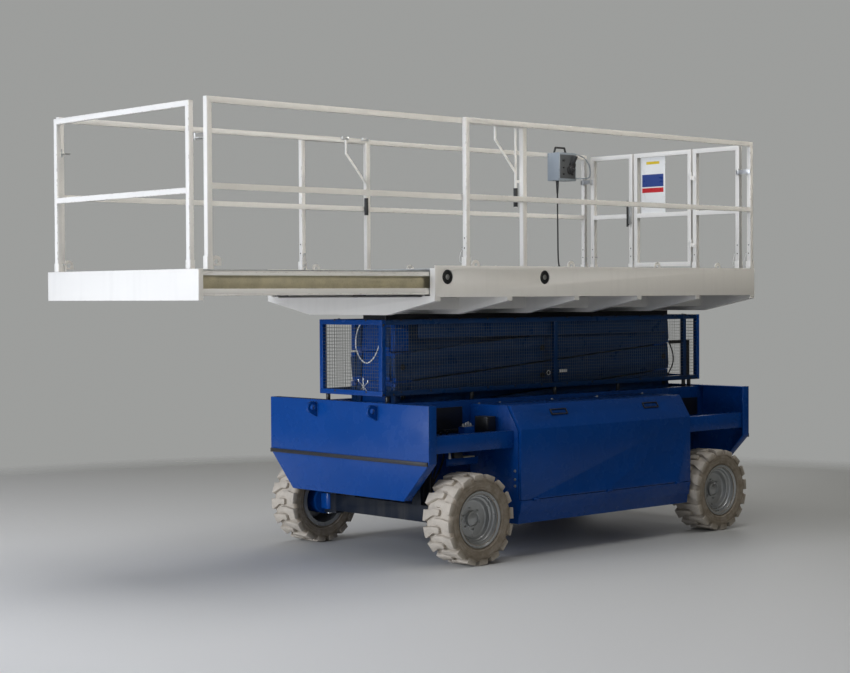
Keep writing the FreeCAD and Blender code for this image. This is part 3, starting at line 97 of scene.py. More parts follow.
class Graph:
    """A material's node tree, with short calls that add and join nodes."""

    def __init__(self, name: str) -> None:
        """Start an empty tree with one Principled shader on its output.

        Args:
            name: The material's name.
        """
        self.material = bpy.data.materials.new(name)
        self.material.use_nodes = True
        self.tree = self.material.node_tree
        self.tree.nodes.clear()
        output = self.tree.nodes.new("ShaderNodeOutputMaterial")
        self.shader = self.tree.nodes.new("ShaderNodeBsdfPrincipled")
        self.tree.links.new(self.shader.outputs[0], output.inputs[0])
        self.coords = self.tree.nodes.new("ShaderNodeTexCoord")

    def put(self, node: bpy.types.Node, key: str | int, value: object) -> None:
        """Set or link one input of a node.

        Args:
            node: The node.
            key: The input's name or place.
            value: A socket to link, or a plain value.
        """
        socket = node.inputs[key]
        if isinstance(value, bpy.types.NodeSocket):
            self.tree.links.new(value, socket)
        elif isinstance(value, tuple) and len(value) == 3 and socket.type == "RGBA":
            socket.default_value = (*value, 1.0)
        else:
            socket.default_value = value

    def set(self, **values: object) -> None:
        """Set or link the shader's inputs, with underscores for spaces."""
        for key, value in values.items():
            self.put(self.shader, key.replace("_", " "), value)

    def noise(self, scale: float, detail: float = 3.0, stretch: Point = (1, 1, 1)) -> bpy.types.NodeSocket:
        """A noise pattern on object coordinates.

        Args:
            scale: Blobs per metre.
            detail: Octaves of detail.
            stretch: Scale along each axis, for streaks.

        Returns:
            The pattern's value.
        """
        node = self.tree.nodes.new("ShaderNodeTexNoise")
        mapping = self.tree.nodes.new("ShaderNodeMapping")
        self.put(mapping, "Vector", self.coords.outputs["Object"])
        mapping.inputs["Scale"].default_value = tuple(stretch)
        self.put(node, "Vector", mapping.outputs[0])
        self.put(node, "Scale", scale)
        self.put(node, "Detail", detail)
        return node.outputs["Fac"]

    def span(self, value: bpy.types.NodeSocket, low: float, high: float, out: Point = (0.0, 1.0)) -> bpy.types.NodeSocket:
        """A value mapped from one range to another, clamped.

        Args:
            value: The value.
            low: The value that gives out[0].
            high: The value that gives out[1].
            out: The two results.

        Returns:
            The mapped value.
        """
        node = self.tree.nodes.new("ShaderNodeMapRange")
        for key, number in zip(("From Min", "From Max", "To Min", "To Max"), (low, high, *out)):
            self.put(node, key, number)
        self.put(node, "Value", value)
        return node.outputs[0]

    def maths(self, operation: str, first: object, second: object) -> bpy.types.NodeSocket:
        """Two values joined by an operation.

        Args:
            operation: Blender's name of the operation.
            first: A socket or a number.
            second: A socket or a number.

        Returns:
            The result.
        """
        node = self.tree.nodes.new("ShaderNodeMath")
        node.operation = operation
        self.put(node, 0, first)
        self.put(node, 1, second)
        return node.outputs[0]

    def blend(self, share: object, first: object, second: object) -> bpy.types.NodeSocket:
        """Two colours mixed.

        Args:
            share: How much of the second colour shows.
            first: The first colour.
            second: The second colour.

        Returns:
            The mixed colour.
        """
        node = self.tree.nodes.new("ShaderNodeMix")
        node.data_type = "RGBA"
        self.put(node, 0, share)
        self.put(node, 6, first)
        self.put(node, 7, second)
        return node.outputs[2]

    def upward(self) -> bpy.types.NodeSocket:
        """How much a surface faces up, from 0 to 1."""
        parts = self.tree.nodes.new("ShaderNodeSeparateXYZ")
        self.put(parts, 0, self.coords.outputs["Normal"])
        return self.span(parts.outputs["Z"], 0.55, 0.95)

    def own(self, name: str) -> bpy.types.NodeSocket:
        """A value that the mesh carries under that name, 0 where it carries none."""
        node = self.tree.nodes.new("ShaderNodeAttribute")
        node.attribute_name = name
        return node.outputs["Fac"]

    def bumps(self, *layers: tuple[bpy.types.NodeSocket, float, float]) -> None:
        """Bump layers on the shader's normal.

        Args:
            layers: Each layer's height, strength and depth in metres.
        """
        normal = None
        for height, strength, depth in layers:
            node = self.tree.nodes.new("ShaderNodeBump")
            self.put(node, "Height", height)
            self.put(node, "Strength", strength)
            self.put(node, "Distance", depth)
            if normal is not None:
                self.put(node, "Normal", normal)
            normal = node.outputs[0]
        self.put(self.shader, "Normal", normal)


@dataclass(frozen=True)
class Paint:
    """Sprayed machine paint with orange peel, dust on top, runs of dirt and chipped edges."""

    name: str
    colour: Point
    under: Point = (0.12, 0.11, 0.1)
    roughness: float = 0.3
    coat: float = 0.4
    dust: float = 0.35
    dirt: float = 0.12
    chips: float = 0.5
    mottle: float = 0.1
    metallic: float = 0.0
    specular: float = 0.5

    def make(self) -> bpy.types.Material:
        """Build the material."""
        g = Graph(self.name)
        base = tuple(self.colour)
        dark = tuple(c * (1.0 - self.mottle) for c in base)
        tone = g.blend(g.span(g.noise(1.7, 5.0), 0.3, 0.7), dark, base)
        streak = g.span(g.noise(5.0, 5.0, (3.0, 3.0, 0.22)), 0.5, 0.78, (0.0, self.dirt))
        tone = g.blend(streak, tone, (0.1, 0.095, 0.085))
        blots = g.span(g.noise(14.0, 6.0), 0.32, 0.7, (0.35, 1.0))
        top = g.maths("MULTIPLY", g.maths("MULTIPLY", g.upward(), blots), self.dust)
        tone = g.blend(top, tone, (0.46, 0.45, 0.42))
        chip = g.maths("MULTIPLY", g.own("wear"), g.span(g.noise(38.0, 4.0), 0.56, 0.6, (0.0, self.chips)))
        g.set(Base_Color=g.blend(chip, tone, tuple(self.under)))
        smudge = g.span(g.noise(7.0, 6.0), 0.3, 0.75, (self.roughness - 0.06, self.roughness + 0.12))
        rough = g.maths("ADD", smudge, g.maths("MULTIPLY", top, 0.55))
        g.set(Roughness=g.maths("ADD", rough, g.maths("MULTIPLY", chip, 0.3)))
        g.set(Coat_Weight=self.coat, Coat_Roughness=0.12, Metallic=self.metallic, Specular_IOR_Level=self.specular)
        g.bumps((g.noise(320.0, 2.0), 0.12, 0.0006), (g.noise(2.2, 2.0), 0.12, 0.004))
        return g.material


@dataclass(frozen=True)
class Rubber:
    """Matt rubber with scuffs, and a darker colour in its hollows that is painted shade with some dust."""

    name: str
    colour: Point
    hollow_shade_and_dust: Point
    roughness: float = 0.8
    grain: float = 260.0

    def make(self) -> bpy.types.Material:
        """Build the material."""
        g = Graph(self.name)
        scuff = g.span(g.noise(11.0, 7.0), 0.42, 0.72)
        tone = g.blend(scuff, tuple(self.colour), tuple(c * 0.8 for c in self.colour))
        # Painted shade with some dust: where the mesh's depth value is set, the colour goes over to the hollow colour.
        depth = g.maths("MULTIPLY", g.own("depth"), g.span(g.noise(23.0, 5.0), 0.2, 0.7, (0.45, 1.0)))
        tone = g.blend(depth, tone, tuple(self.hollow_shade_and_dust))
        specks = g.span(g.noise(120.0, 3.0), 0.62, 0.72, (0.0, 0.35))
        g.set(Base_Color=g.blend(specks, tone, tuple(c * 0.55 for c in self.hollow_shade_and_dust)))
        g.set(Roughness=g.span(g.noise(30.0, 4.0), 0.3, 0.7, (self.roughness - 0.1, self.roughness + 0.1)))
        g.set(Specular_IOR_Level=0.35)
        g.bumps((g.noise(self.grain, 4.0), 0.35, 0.001), (g.noise(35.0, 5.0), 0.25, 0.002))
        return g.material


@dataclass(frozen=True)
class Metal:
    """Bare or plated metal with brushed or cast variation."""

    name: str
    colour: Point
    roughness: float = 0.3
    tarnish: Point = (0.2, 0.18, 0.16)
    spots: float = 0.3
    brushed: Point = (1.0, 1.0, 1.0)

    def make(self) -> bpy.types.Material:
        """Build the material."""
        g = Graph(self.name)
        dull = g.span(g.noise(16.0, 6.0), 0.5, 0.75, (0.0, self.spots))
        g.set(Base_Color=g.blend(dull, tuple(self.colour), tuple(self.tarnish)))
        lines = g.noise(90.0, 3.0, self.brushed)
        rough = g.span(lines, 0.3, 0.7, (self.roughness - 0.08, self.roughness + 0.1))
        g.set(Roughness=g.maths("ADD", rough, g.maths("MULTIPLY", dull, 0.4)), Metallic=1.0)
        g.bumps((lines, 0.08, 0.0005))
        return g.material


@dataclass(frozen=True)
class Plastic:
    """Moulded plastic with a fine grain and dust on top."""

    name: str
    colour: Point
    roughness: float = 0.5
    dust: float = 0.3
    grain: float = 500.0

    def make(self) -> bpy.types.Material:
        """Build the material."""
        g = Graph(self.name)
        blots = g.span(g.noise(19.0, 5.0), 0.35, 0.7, (0.3, 1.0))
        top = g.maths("MULTIPLY", g.maths("MULTIPLY", g.upward(), blots), self.dust)
        fade = g.span(g.noise(6.0, 4.0), 0.3, 0.7, (0.0, 0.25))
        tone = g.blend(fade, tuple(self.colour), tuple(min(1.0, c * 1.35 + 0.01) for c in self.colour))
        g.set(Base_Color=g.blend(top, tone, (0.4, 0.39, 0.36)))
        g.set(Roughness=g.span(g.noise(25.0, 4.0), 0.3, 0.7, (self.roughness - 0.08, self.roughness + 0.12)))
        g.bumps((g.noise(self.grain, 2.0), 0.2, 0.0004))
        return g.material


@dataclass(frozen=True)
class TreadPlate:
    """Painted steel floor plate with raised bars, trodden bare in places."""

    name: str
    colour: Point
    pitch: float = 34.0

    def make(self) -> bpy.types.Material:
        """Build the material."""
        g = Graph(self.name)
        waves = []
        for angle in (45.0, -45.0):
            mapping = g.tree.nodes.new("ShaderNodeMapping")
            g.put(mapping, "Vector", g.coords.outputs["Object"])
            mapping.inputs["Rotation"].default_value = (0.0, 0.0, math.radians(angle))
            mapping.inputs["Scale"].default_value = (self.pitch, self.pitch * 0.36, 1.0)
            cells = g.tree.nodes.new("ShaderNodeTexVoronoi")
            cells.distance = "CHEBYCHEV"
            g.put(cells, "Vector", mapping.outputs[0])
            g.put(cells, "Scale", 1.0)
            g.put(cells, "Randomness", 0.0)
            waves.append(g.span(cells.outputs["Distance"], 0.16, 0.3, (1.0, 0.0)))
        bars = g.maths("MAXIMUM", *waves)
        trodden = g.span(g.noise(2.3, 7.0), 0.45, 0.62)
        shine = g.maths("MULTIPLY", bars, trodden)
        grime = g.blend(g.span(g.noise(6.0, 6.0), 0.35, 0.7, (0.0, 0.5)), tuple(self.colour), (0.16, 0.155, 0.14))
        g.set(Base_Color=g.blend(shine, grime, (0.5, 0.5, 0.5)), Metallic=g.maths("MULTIPLY", shine, 0.8))
        g.set(Roughness=g.span(shine, 0.0, 1.0, (0.62, 0.34)))
        g.bumps((bars, 0.6, 0.002), (g.noise(120.0, 3.0), 0.15, 0.0008))
        return g.material


class Finish(Enum):
    """The machine's finishes, each with the record's slot that it belongs to."""

    BLUE = ("blue_paint", Paint(
        "blue_paint", (0.0022, 0.056, 0.27), (0.05, 0.055, 0.07), 0.24, coat=0.0, dust=0.03, dirt=0.02, chips=0.3,
        specular=0.25,
    ))
    MESH = ("blue_paint", Paint(
        "net_wire", (0.13, 0.135, 0.125), (0.05, 0.05, 0.05), 0.45, coat=0.0, dust=0.04, dirt=0.0, chips=0.1,
        specular=0.3,
    ))
    # Painted shade: a darker copy of the blue paint, used on the arms and on the cage's side frames and skirt to stand
    # in for the shade under the deck.
    SHADED_BLUE = ("blue_paint", Paint(
        "shaded_blue_paint", (0.003, 0.034, 0.12), (0.05, 0.055, 0.07), 0.3, coat=0.0, dust=0.03, dirt=0.15, chips=0.3,
        specular=0.3,
    ))
    AXLE = ("blue_paint", Paint(
        "axle_paint", (0.006, 0.011, 0.022), (0.05, 0.05, 0.05), 0.4, coat=0.0, dust=0.15, dirt=0.3, chips=0.3,
        specular=0.3,
    ))
    WHITE = ("white_paint", Paint(
        "white_paint", (0.82, 0.8, 0.76), (0.3, 0.25, 0.2), 0.34, coat=0.2, dust=0.12, dirt=0.05, chips=0.4, mottle=0.03,
    ))
    # The tyre's hollow colour is painted shade with some dust.
    TYRE = ("tyre_cream", Rubber("tyre_rubber", (0.525, 0.472, 0.4), (0.21, 0.168, 0.118)))
    RIM = ("rim_silver", Paint(
        "rim_silver", (0.5, 0.51, 0.51), (0.1, 0.1, 0.1), 0.3, coat=0.1, dust=0.3, dirt=0.25, chips=0.4, mottle=0.35,
        metallic=0.7,
    ))
    BLACK = ("black_steel", Paint(
        "black_paint", (0.012, 0.013, 0.015), (0.1, 0.1, 0.1), 0.36, coat=0.1, dust=0.15, dirt=0.05, chips=0.4, mottle=0.3,
    ))
    PLASTIC = ("black_plastic", Plastic("black_plastic", (0.017, 0.017, 0.018)))
    HOSE = ("cable_black", Rubber("black_rubber", (0.022, 0.022, 0.023), (0.03, 0.03, 0.03), 0.6, 400.0))
    CHROME = ("chrome_rod", Metal("chrome_rod", (0.72, 0.72, 0.73), 0.12, (0.4, 0.38, 0.34), 0.15, (1.0, 30.0, 30.0)))
    ZINC = ("chrome_rod", Metal("zinc_plate", (0.6, 0.61, 0.62), 0.34, (0.36, 0.33, 0.26), 0.45))
    FLOOR = ("deck_plate", TreadPlate("tread_plate", (0.42, 0.43, 0.43)))
    BOARD = ("board_white", Plastic("board_white", (0.78, 0.78, 0.76), 0.32, 0.1, 90.0))
    BOARD_BLUE = ("board_white", Plastic("board_blue", (0.02, 0.05, 0.22), 0.32, 0.1, 90.0))
    BOARD_RED = ("board_white", Plastic("board_red", (0.5, 0.015, 0.02), 0.32, 0.1, 90.0))
    BOARD_YELLOW = ("board_white", Plastic("board_yellow", (0.68, 0.5, 0.02), 0.32, 0.1, 90.0))
    GREY = ("box_grey", Paint("box_grey", (0.3, 0.34, 0.38), (0.08, 0.08, 0.08), 0.4, 0.15, 0.3, 0.1, 0.5))
    PANEL = ("box_grey", Plastic("panel_grey", (0.075, 0.08, 0.085), 0.45, 0.15))
    TAN = ("deck_plate", Rubber("slide_strip", (0.6, 0.545, 0.38), (0.25, 0.2, 0.12), 0.6, 120.0))

    @property
    def slot(self) -> str:
        """The record's material slot."""
        return self.value[0]


# Modelling


def bevel_edges(bm: bmesh.types.BMesh, edges: Iterable[bmesh.types.BMEdge], width: float, segments: int = 2) -> None:
    """Round edges, and mark the new faces as worn.

    Args:
        bm: The mesh.
        edges: The edges to round.
        width: The width of the rounding.
        segments: Faces across it.
    """
    wear = bm.faces.layers.float.get("wear") or bm.faces.layers.float.new("wear")
    result = bmesh.ops.bevel(
        bm, geom=list(edges), offset=width, offset_type="OFFSET", segments=segments, profile=0.5,
        affect="EDGES", clamp_overlap=True, material=-1,
    )
    for face in result["faces"]:
        face[wear] = 1.0


def edges_of(verts: Iterable[bmesh.types.BMVert]) -> list[bmesh.types.BMEdge]:
    """The edges that run among some vertices."""
    chosen = set(verts)
    found = {edge for vert in chosen for edge in vert.link_edges}
    return [edge for edge in found if edge.verts[0] in chosen and edge.verts[1] in chosen]


def block(bm: bmesh.types.BMesh, low: Point, high: Point, bevel: float = 0.002, turn: Matrix | None = None) -> None:
    """A box with rounded edges between two corners.

    Args:
        bm: The mesh it is added to.
        low: One corner.
        high: The opposite corner.
        bevel: The rounding of its edges, or 0.
        turn: A turn about the box's own middle.
    """
    low, high = Vector(low), Vector(high)
    size = Vector(abs(a - b) for a, b in zip(high, low))
    place = Matrix.Translation((low + high) / 2.0) @ (turn or Matrix.Identity(4))
    made = bmesh.ops.create_cube(bm, size=1.0, matrix=place @ Matrix.Diagonal((*size, 1.0)))
    if bevel:
        bevel_edges(bm, edges_of(made["verts"]), bevel)


def along(start: Vector, end: Vector) -> Matrix:
    """A frame at the middle of two points whose Z runs from one to the other."""
    way = end - start
    return Matrix.Translation((start + end) / 2.0) @ way.to_track_quat("Z", "Y").to_matrix().to_4x4()


def bar(
    bm: bmesh.types.BMesh, start: Point, end: Point, radius: float, sides: int = 20,
    bevel: float = 0.0, tip: float | None = None,
) -> None:
    """A round bar, cone or prism between two points.

    Args:
        bm: The mesh it is added to.
        start: The middle of one end.
        end: The middle of the other end.
        radius: Its radius at the start.
        sides: Faces round it, 6 for a bolt's head.
        bevel: The rounding of its ends, or 0.
        tip: Its radius at the end, if that differs.
    """
    start, end = Vector(start), Vector(end)
    made = bmesh.ops.create_cone(
        bm, cap_ends=True, cap_tris=False, segments=sides, radius1=radius,
        radius2=radius if tip is None else tip, depth=(end - start).length, matrix=along(start, end),
    )
    if bevel:
        ends = [e for e in edges_of(made["verts"]) if any(len(f.verts) > 4 for f in e.link_faces)]
        bevel_edges(bm, ends, bevel)


def lathe(bm: bmesh.types.BMesh, profile: Sequence[Point], centre: Point, axis: Point = (0, 1, 0), steps: int = 72) -> list[bmesh.types.BMVert]:
    """A closed profile turned all the way round an axis.

    Args:
        bm: The mesh it is added to.
        profile: (radius, distance along the axis) corners of a closed loop.
        centre: The point on the axis that distances are measured from.
        axis: The axis.
        steps: Faces round it.

    Returns:
        The new vertices.
    """
    middle, line = Vector(centre), Vector(axis).normalized()
    side = line.orthogonal().normalized()
    before = set(bm.verts)
    verts = [bm.verts.new(middle + side * radius + line * far) for radius, far in profile]
    edges = [bm.edges.new((a, b)) for a, b in zip(verts, verts[1:] + verts[:1])]
    bmesh.ops.spin(
        bm, geom=verts + edges, cent=middle, axis=line, dvec=(0, 0, 0), angle=2.0 * math.pi,
        steps=steps, use_merge=True, use_normal_flip=False, use_duplicate=False,
    )
    return [vert for vert in bm.verts if vert not in before]


def plate(bm: bmesh.types.BMesh, outline: Sequence[Point], depth: Point, bevel: float = 0.0015) -> list[bmesh.types.BMVert]:
    """A flat outline given a thickness.

    Args:
        bm: The mesh it is added to.
        outline: Corners of the outline.
        depth: The thickness, with its direction.
        bevel: The rounding of its edges, or 0.

    Returns:
        The vertices before the edges are rounded.
    """
    face = bm.faces.new([bm.verts.new(corner) for corner in outline])
    made = bmesh.ops.extrude_face_region(bm, geom=[face])
    far = [v for v in made["geom"] if isinstance(v, bmesh.types.BMVert)]
    bmesh.ops.translate(bm, verts=far, vec=Vector(depth))
    verts = list(face.verts) + far
    if bevel:
        bevel_edges(bm, edges_of(verts), bevel)
    return verts


def holed_tab(bm: bmesh.types.BMesh, foot: Point, wide: Vector, high: Vector, depth: Vector, hole: float) -> None:
    """A welded tab with a round top and a round hole.

    Args:
        bm: The mesh it is added to.
        foot: The middle of its lower edge.
        wide: Half of its width.
        high: The height of the hole's middle.
        depth: Its thickness.
        hole: The hole's radius as a share of the half width.
    """
    foot, steps = Vector(foot), 24
    outer, inner = [], []
    for i in range(steps):
        angle = 2.0 * math.pi * i / steps
        across, up = math.cos(angle), math.sin(angle)
        rim = foot + high + wide * across + high.normalized() * (wide.length * up)
        if up < -0.01:
            rim = foot + wide * max(-1.0, min(1.0, across * 1.35))
        outer.append(bm.verts.new(rim))
        inner.append(bm.verts.new(foot + high + (wide * across + high.normalized() * wide.length * up) * hole))
    loops = []
    for ring in (outer, inner):
        loops += [bm.edges.new((a, b)) for a, b in zip(ring, ring[1:] + ring[:1])]
    faces = bmesh.ops.bridge_loops(bm, edges=loops)["faces"]
    made = bmesh.ops.extrude_face_region(bm, geom=faces)
    far = [v for v in made["geom"] if isinstance(v, bmesh.types.BMVert)]
    bmesh.ops.translate(bm, verts=far, vec=depth)


def side_block(bm: bmesh.types.BMesh, side: int, low: Point, high: Point, bevel: float = 0.002) -> None:
    """A box given from the middle of the wheelbase for the left side, or its mirror image.

    Args:
        bm: The mesh it is added to.
        side: 1 on the left, -1 on the right.
        low: One corner.
        high: The opposite corner.
        bevel: The rounding of its edges, or 0.
    """
    block(bm, spot(low[0], side * low[1], low[2]), spot(high[0], side * high[1], high[2]), bevel)


def bolt(bm: bmesh.types.BMesh, place: Point, way: Point, size: float = 0.008) -> None:
    """A hexagon bolt with its washer.

    Args:
        bm: The mesh it is added to.
        place: The point on the surface.
        way: The direction that it stands out in.
        size: The radius of its head.
    """
    place, way = Vector(place), Vector(way).normalized()
    bar(bm, place - way * 0.001, place + way * size * 0.25, size * 1.45, 18, size * 0.06)
    bar(bm, place + way * size * 0.2, place + way * size * 1.1, size, 6, size * 0.12)


@dataclass
class Kit:
    """Makes pieces: gives each mesh its name, finish and body."""

    frame: dict
    materials: dict = field(default_factory=dict)
    made: list = field(default_factory=list)

    def material(self, finish: Finish) -> bpy.types.Material:
        """The material of a finish, built the first time it is asked for."""
        if finish not in self.materials:
            self.materials[finish] = finish.value[1].make()
        return self.materials[finish]

    def add(
        self, name: str, bm: bmesh.types.BMesh, finish: Finish, body: str,
        nodes: Sequence[str] = (), angle: float = 32.0, recalculate: bool = True,
    ) -> bpy.types.Object:
        """Turn a bmesh into a piece.

        Args:
            name: The piece's name.
            bm: The mesh, which is freed.
            finish: Its finish.
            body: The body that it rides on.
            nodes: Nodes that it stands for.
            angle: Edges sharper than this stay sharp, in degrees.
            recalculate: Whether faces are turned outwards first.

        Returns:
            The piece.
        """
        if recalculate:
            bmesh.ops.recalc_face_normals(bm, faces=bm.faces)
        limit = math.radians(angle)
        for edge in bm.edges:
            edge.smooth = edge.calc_face_angle(0.0) < limit
        for face in bm.faces:
            face.smooth = True
        mesh = bpy.data.meshes.new(name)
        bm.to_mesh(mesh)
        bm.free()
        piece = bpy.data.objects.new(name, mesh)
        bpy.context.scene.collection.objects.link(piece)
        mesh.materials.append(self.material(finish))
        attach(piece, body)
        if nodes:
            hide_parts(*nodes)
        self.made.append(name)
        LOG.info("%s on %s: %d faces", name, body, len(mesh.polygons))
        return piece

    def soften(self, node: str, finish: Finish, width: float = 0.0025) -> bpy.types.Object:
        """Stand in for a node with the same shape, its sharp edges rounded.

        The node itself stays and is painted where rounding would change its shape.

        Args:
            node: The node.
            finish: Its finish.
            width: The width of the rounding.

        Returns:
            The new piece, or the node where it keeps its own mesh.
        """
        source = self.frame["nodes"][node]
        source.data.materials.clear()
        source.data.materials.append(self.material(finish))
        bm = bmesh.new()
        bm.from_mesh(source.data)
        bmesh.ops.remove_doubles(bm, verts=bm.verts, dist=2e-5)
        closed = all(len(edge.link_faces) == 2 for edge in bm.edges)
        if closed:
            bmesh.ops.dissolve_limit(bm, angle_limit=math.radians(0.6), verts=bm.verts, edges=bm.edges)
            before = sum(face.calc_area() for face in bm.faces)
            sharp = [e for e in bm.edges if e.calc_face_angle(0.0) > math.radians(32.0)]
            bevel_edges(bm, sharp, width)
            after = sum(face.calc_area() for face in bm.faces)
            closed = abs(after / before - 1.0) < 0.08 and len(bm.faces) < 60000
        if not closed:
            bm.free()
            LOG.info("%s keeps its own mesh", node)
            return source
        return self.add(node + "_soft", bm, finish, source["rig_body"], (node,), recalculate=False)

    def paint(self, node: str, finish: Finish) -> None:
        """Give a node a finish and leave its shape."""
        mesh = self.frame["nodes"][node].data
        mesh.materials.clear()
        mesh.materials.append(self.material(finish))

    def hose(self, name: str, points: Sequence[Point], radius: float, finish: Finish, body: str) -> bpy.types.Object:
        """A smooth round hose or wire through control points.

        Args:
            name: The piece's name.
            points: The curve's control points.
            radius: Half of its thickness.
            finish: Its finish.
            body: The body that it rides on.

        Returns:
            The piece.
        """
        curve = bpy.data.curves.new(name, "CURVE")
        curve.dimensions = "3D"
        curve.bevel_depth = radius
        curve.bevel_resolution = 4
        curve.resolution_u = 10
        curve.use_fill_caps = True
        spline = curve.splines.new("NURBS")
        spline.points.add(len(points) - 1)
        for target, point in zip(spline.points, points):
            target.co = (*point, 1.0)
        spline.order_u = 3
        spline.use_endpoint_u = True
        piece = bpy.data.objects.new(name, curve)
        bpy.context.scene.collection.objects.link(piece)
        curve.materials.append(self.material(finish))
        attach(piece, body)
        self.made.append(name)
        return piece


# Wheels


@dataclass
class Tyre:
    """A chunky tyre with two staggered rows of bent lugs."""

    radius: float = 0.345
    width: float = 0.285
    lug_height: float = 0.027
    knob: float = 0.024
    shoulder: float = 0.043
    slant: float = 0.03
    lugs: int = 16

    def carcass(self, bm: bmesh.types.BMesh) -> None:
        """Add the tyre's body, with rounded shoulders and rings on its side walls."""
        half, tread = self.width / 2.0, self.radius - self.lug_height
        side = [
            (0.1905, 0.119), (0.2235, 0.1192), (0.227, half - 0.0125), (0.232, half - 0.0065), (0.24, half - 0.0055),
            (0.243, half - 0.008), (0.2455, half - 0.005), (0.262, half - 0.0035), (0.265, half - 0.0055),
            (0.268, half - 0.0035), (0.286, half - 0.003), (0.2895, half - 0.0055), (0.293, half - 0.004),
            (0.303, half - 0.008), (0.3115, half - 0.017), (tread, half - 0.036), (tread + 0.001, 0.03),
        ]
        profile = side + [(r, -y) for r, y in reversed(side)]
        lathe(bm, profile, (0, 0, 0), steps=96)

    def plan(self) -> list[tuple[float, float]]:
        """Corners of a lug seen from outside the wheel: a knob past the middle, a bend and a wide shoulder."""
        knob, wide, slant, edge = self.knob, self.shoulder, self.slant, self.width / 2.0
        return [
            (-knob * 0.62, -0.031), (knob * 0.62, -0.031), (knob, -0.019), (knob, 0.03), (knob + 0.006, 0.045),
            (slant + wide, edge - 0.022), (slant + wide, edge + 0.0002), (slant - wide, edge + 0.0002),
            (slant - wide, edge - 0.03), (-knob, 0.052), (-knob, -0.019),
        ]

    def lug(self, bm: bmesh.types.BMesh, side: int, turn: float) -> None:
        """Add one lug.

        Args:
            bm: The mesh.
            side: 1 for the outer row, -1 for the inner.
            turn: Its place round the wheel, in radians.
        """
        edge = self.width / 2.0
        low = self.radius - self.lug_height - 0.022
        before = set(bm.verts)
        face = bm.faces.new([bm.verts.new((x, side * y, low)) for x, y in self.plan()])
        made = bmesh.ops.extrude_face_region(bm, geom=[face])
        upper = [v for v in made["geom"] if isinstance(v, bmesh.types.BMVert)]
        for vert in upper:
            vert.co.z = math.sqrt(self.radius ** 2 - vert.co.x ** 2) - 0.0002
            vert.co.x *= 0.985
            if abs(vert.co.y) > edge - 0.001:
                vert.co.y -= side * 0.003
                vert.co.z -= 0.002
        crown = [e for e in edges_of(upper)]
        walls = [e for e in edges_of(set(bm.verts) - before) if (e.verts[0] in upper) != (e.verts[1] in upper)]
        bmesh.ops.bevel(
            bm, geom=crown + walls, offset=0.003, offset_type="OFFSET", segments=2, profile=0.5,
            affect="EDGES", clamp_overlap=True, material=-1,
        )
        fresh = [v for v in bm.verts if v not in before]
        bmesh.ops.rotate(bm, verts=fresh, cent=(0, 0, 0), matrix=Matrix.Rotation(turn, 3, "Y"))

    def build(self, kit: Kit, name: str, centre: Vector, side: int) -> None:
        """Build one tyre.

        Args:
            kit: Makes the piece.
            name: The wheel's name.
            centre: The wheel's middle.
            side: 1 on the left, -1 on the right.
        """
        bm = bmesh.new()
        self.carcass(bm)
        body = set(bm.verts)
        step = 2.0 * math.pi / self.lugs
        corner = math.asin((self.shoulder + self.slant) / self.radius)
        for row, stagger in ((1, 0.0), (-1, step / 2.0)):
            for i in range(self.lugs):
                self.lug(bm, row, step / 2.0 - corner + stagger + i * step)
        # The depth value marks the lug feet, the tread between the lugs and the bead, where the rubber gets painted
        # shade with some dust.
        depth = bm.verts.layers.float.new("depth")
        tread = self.radius - self.lug_height
        for vert in bm.verts:
            reach = math.hypot(vert.co.x, vert.co.z)
            if vert not in body:
                vert[depth] = 0.95 if reach < tread - 0.006 else 0.0
            elif reach < 0.2236:
                vert[depth] = 1.0
            else:
                vert[depth] = 0.5 if reach > 0.31 else 0.05
        bmesh.ops.scale(bm, verts=bm.verts, vec=(1, side, 1))
        bmesh.ops.translate(bm, verts=bm.verts, vec=centre)
        kit.add("tyre_tread_" + name, bm, Finish.TYRE, "wheel_" + name, ("tyre_" + name,), 38.0)


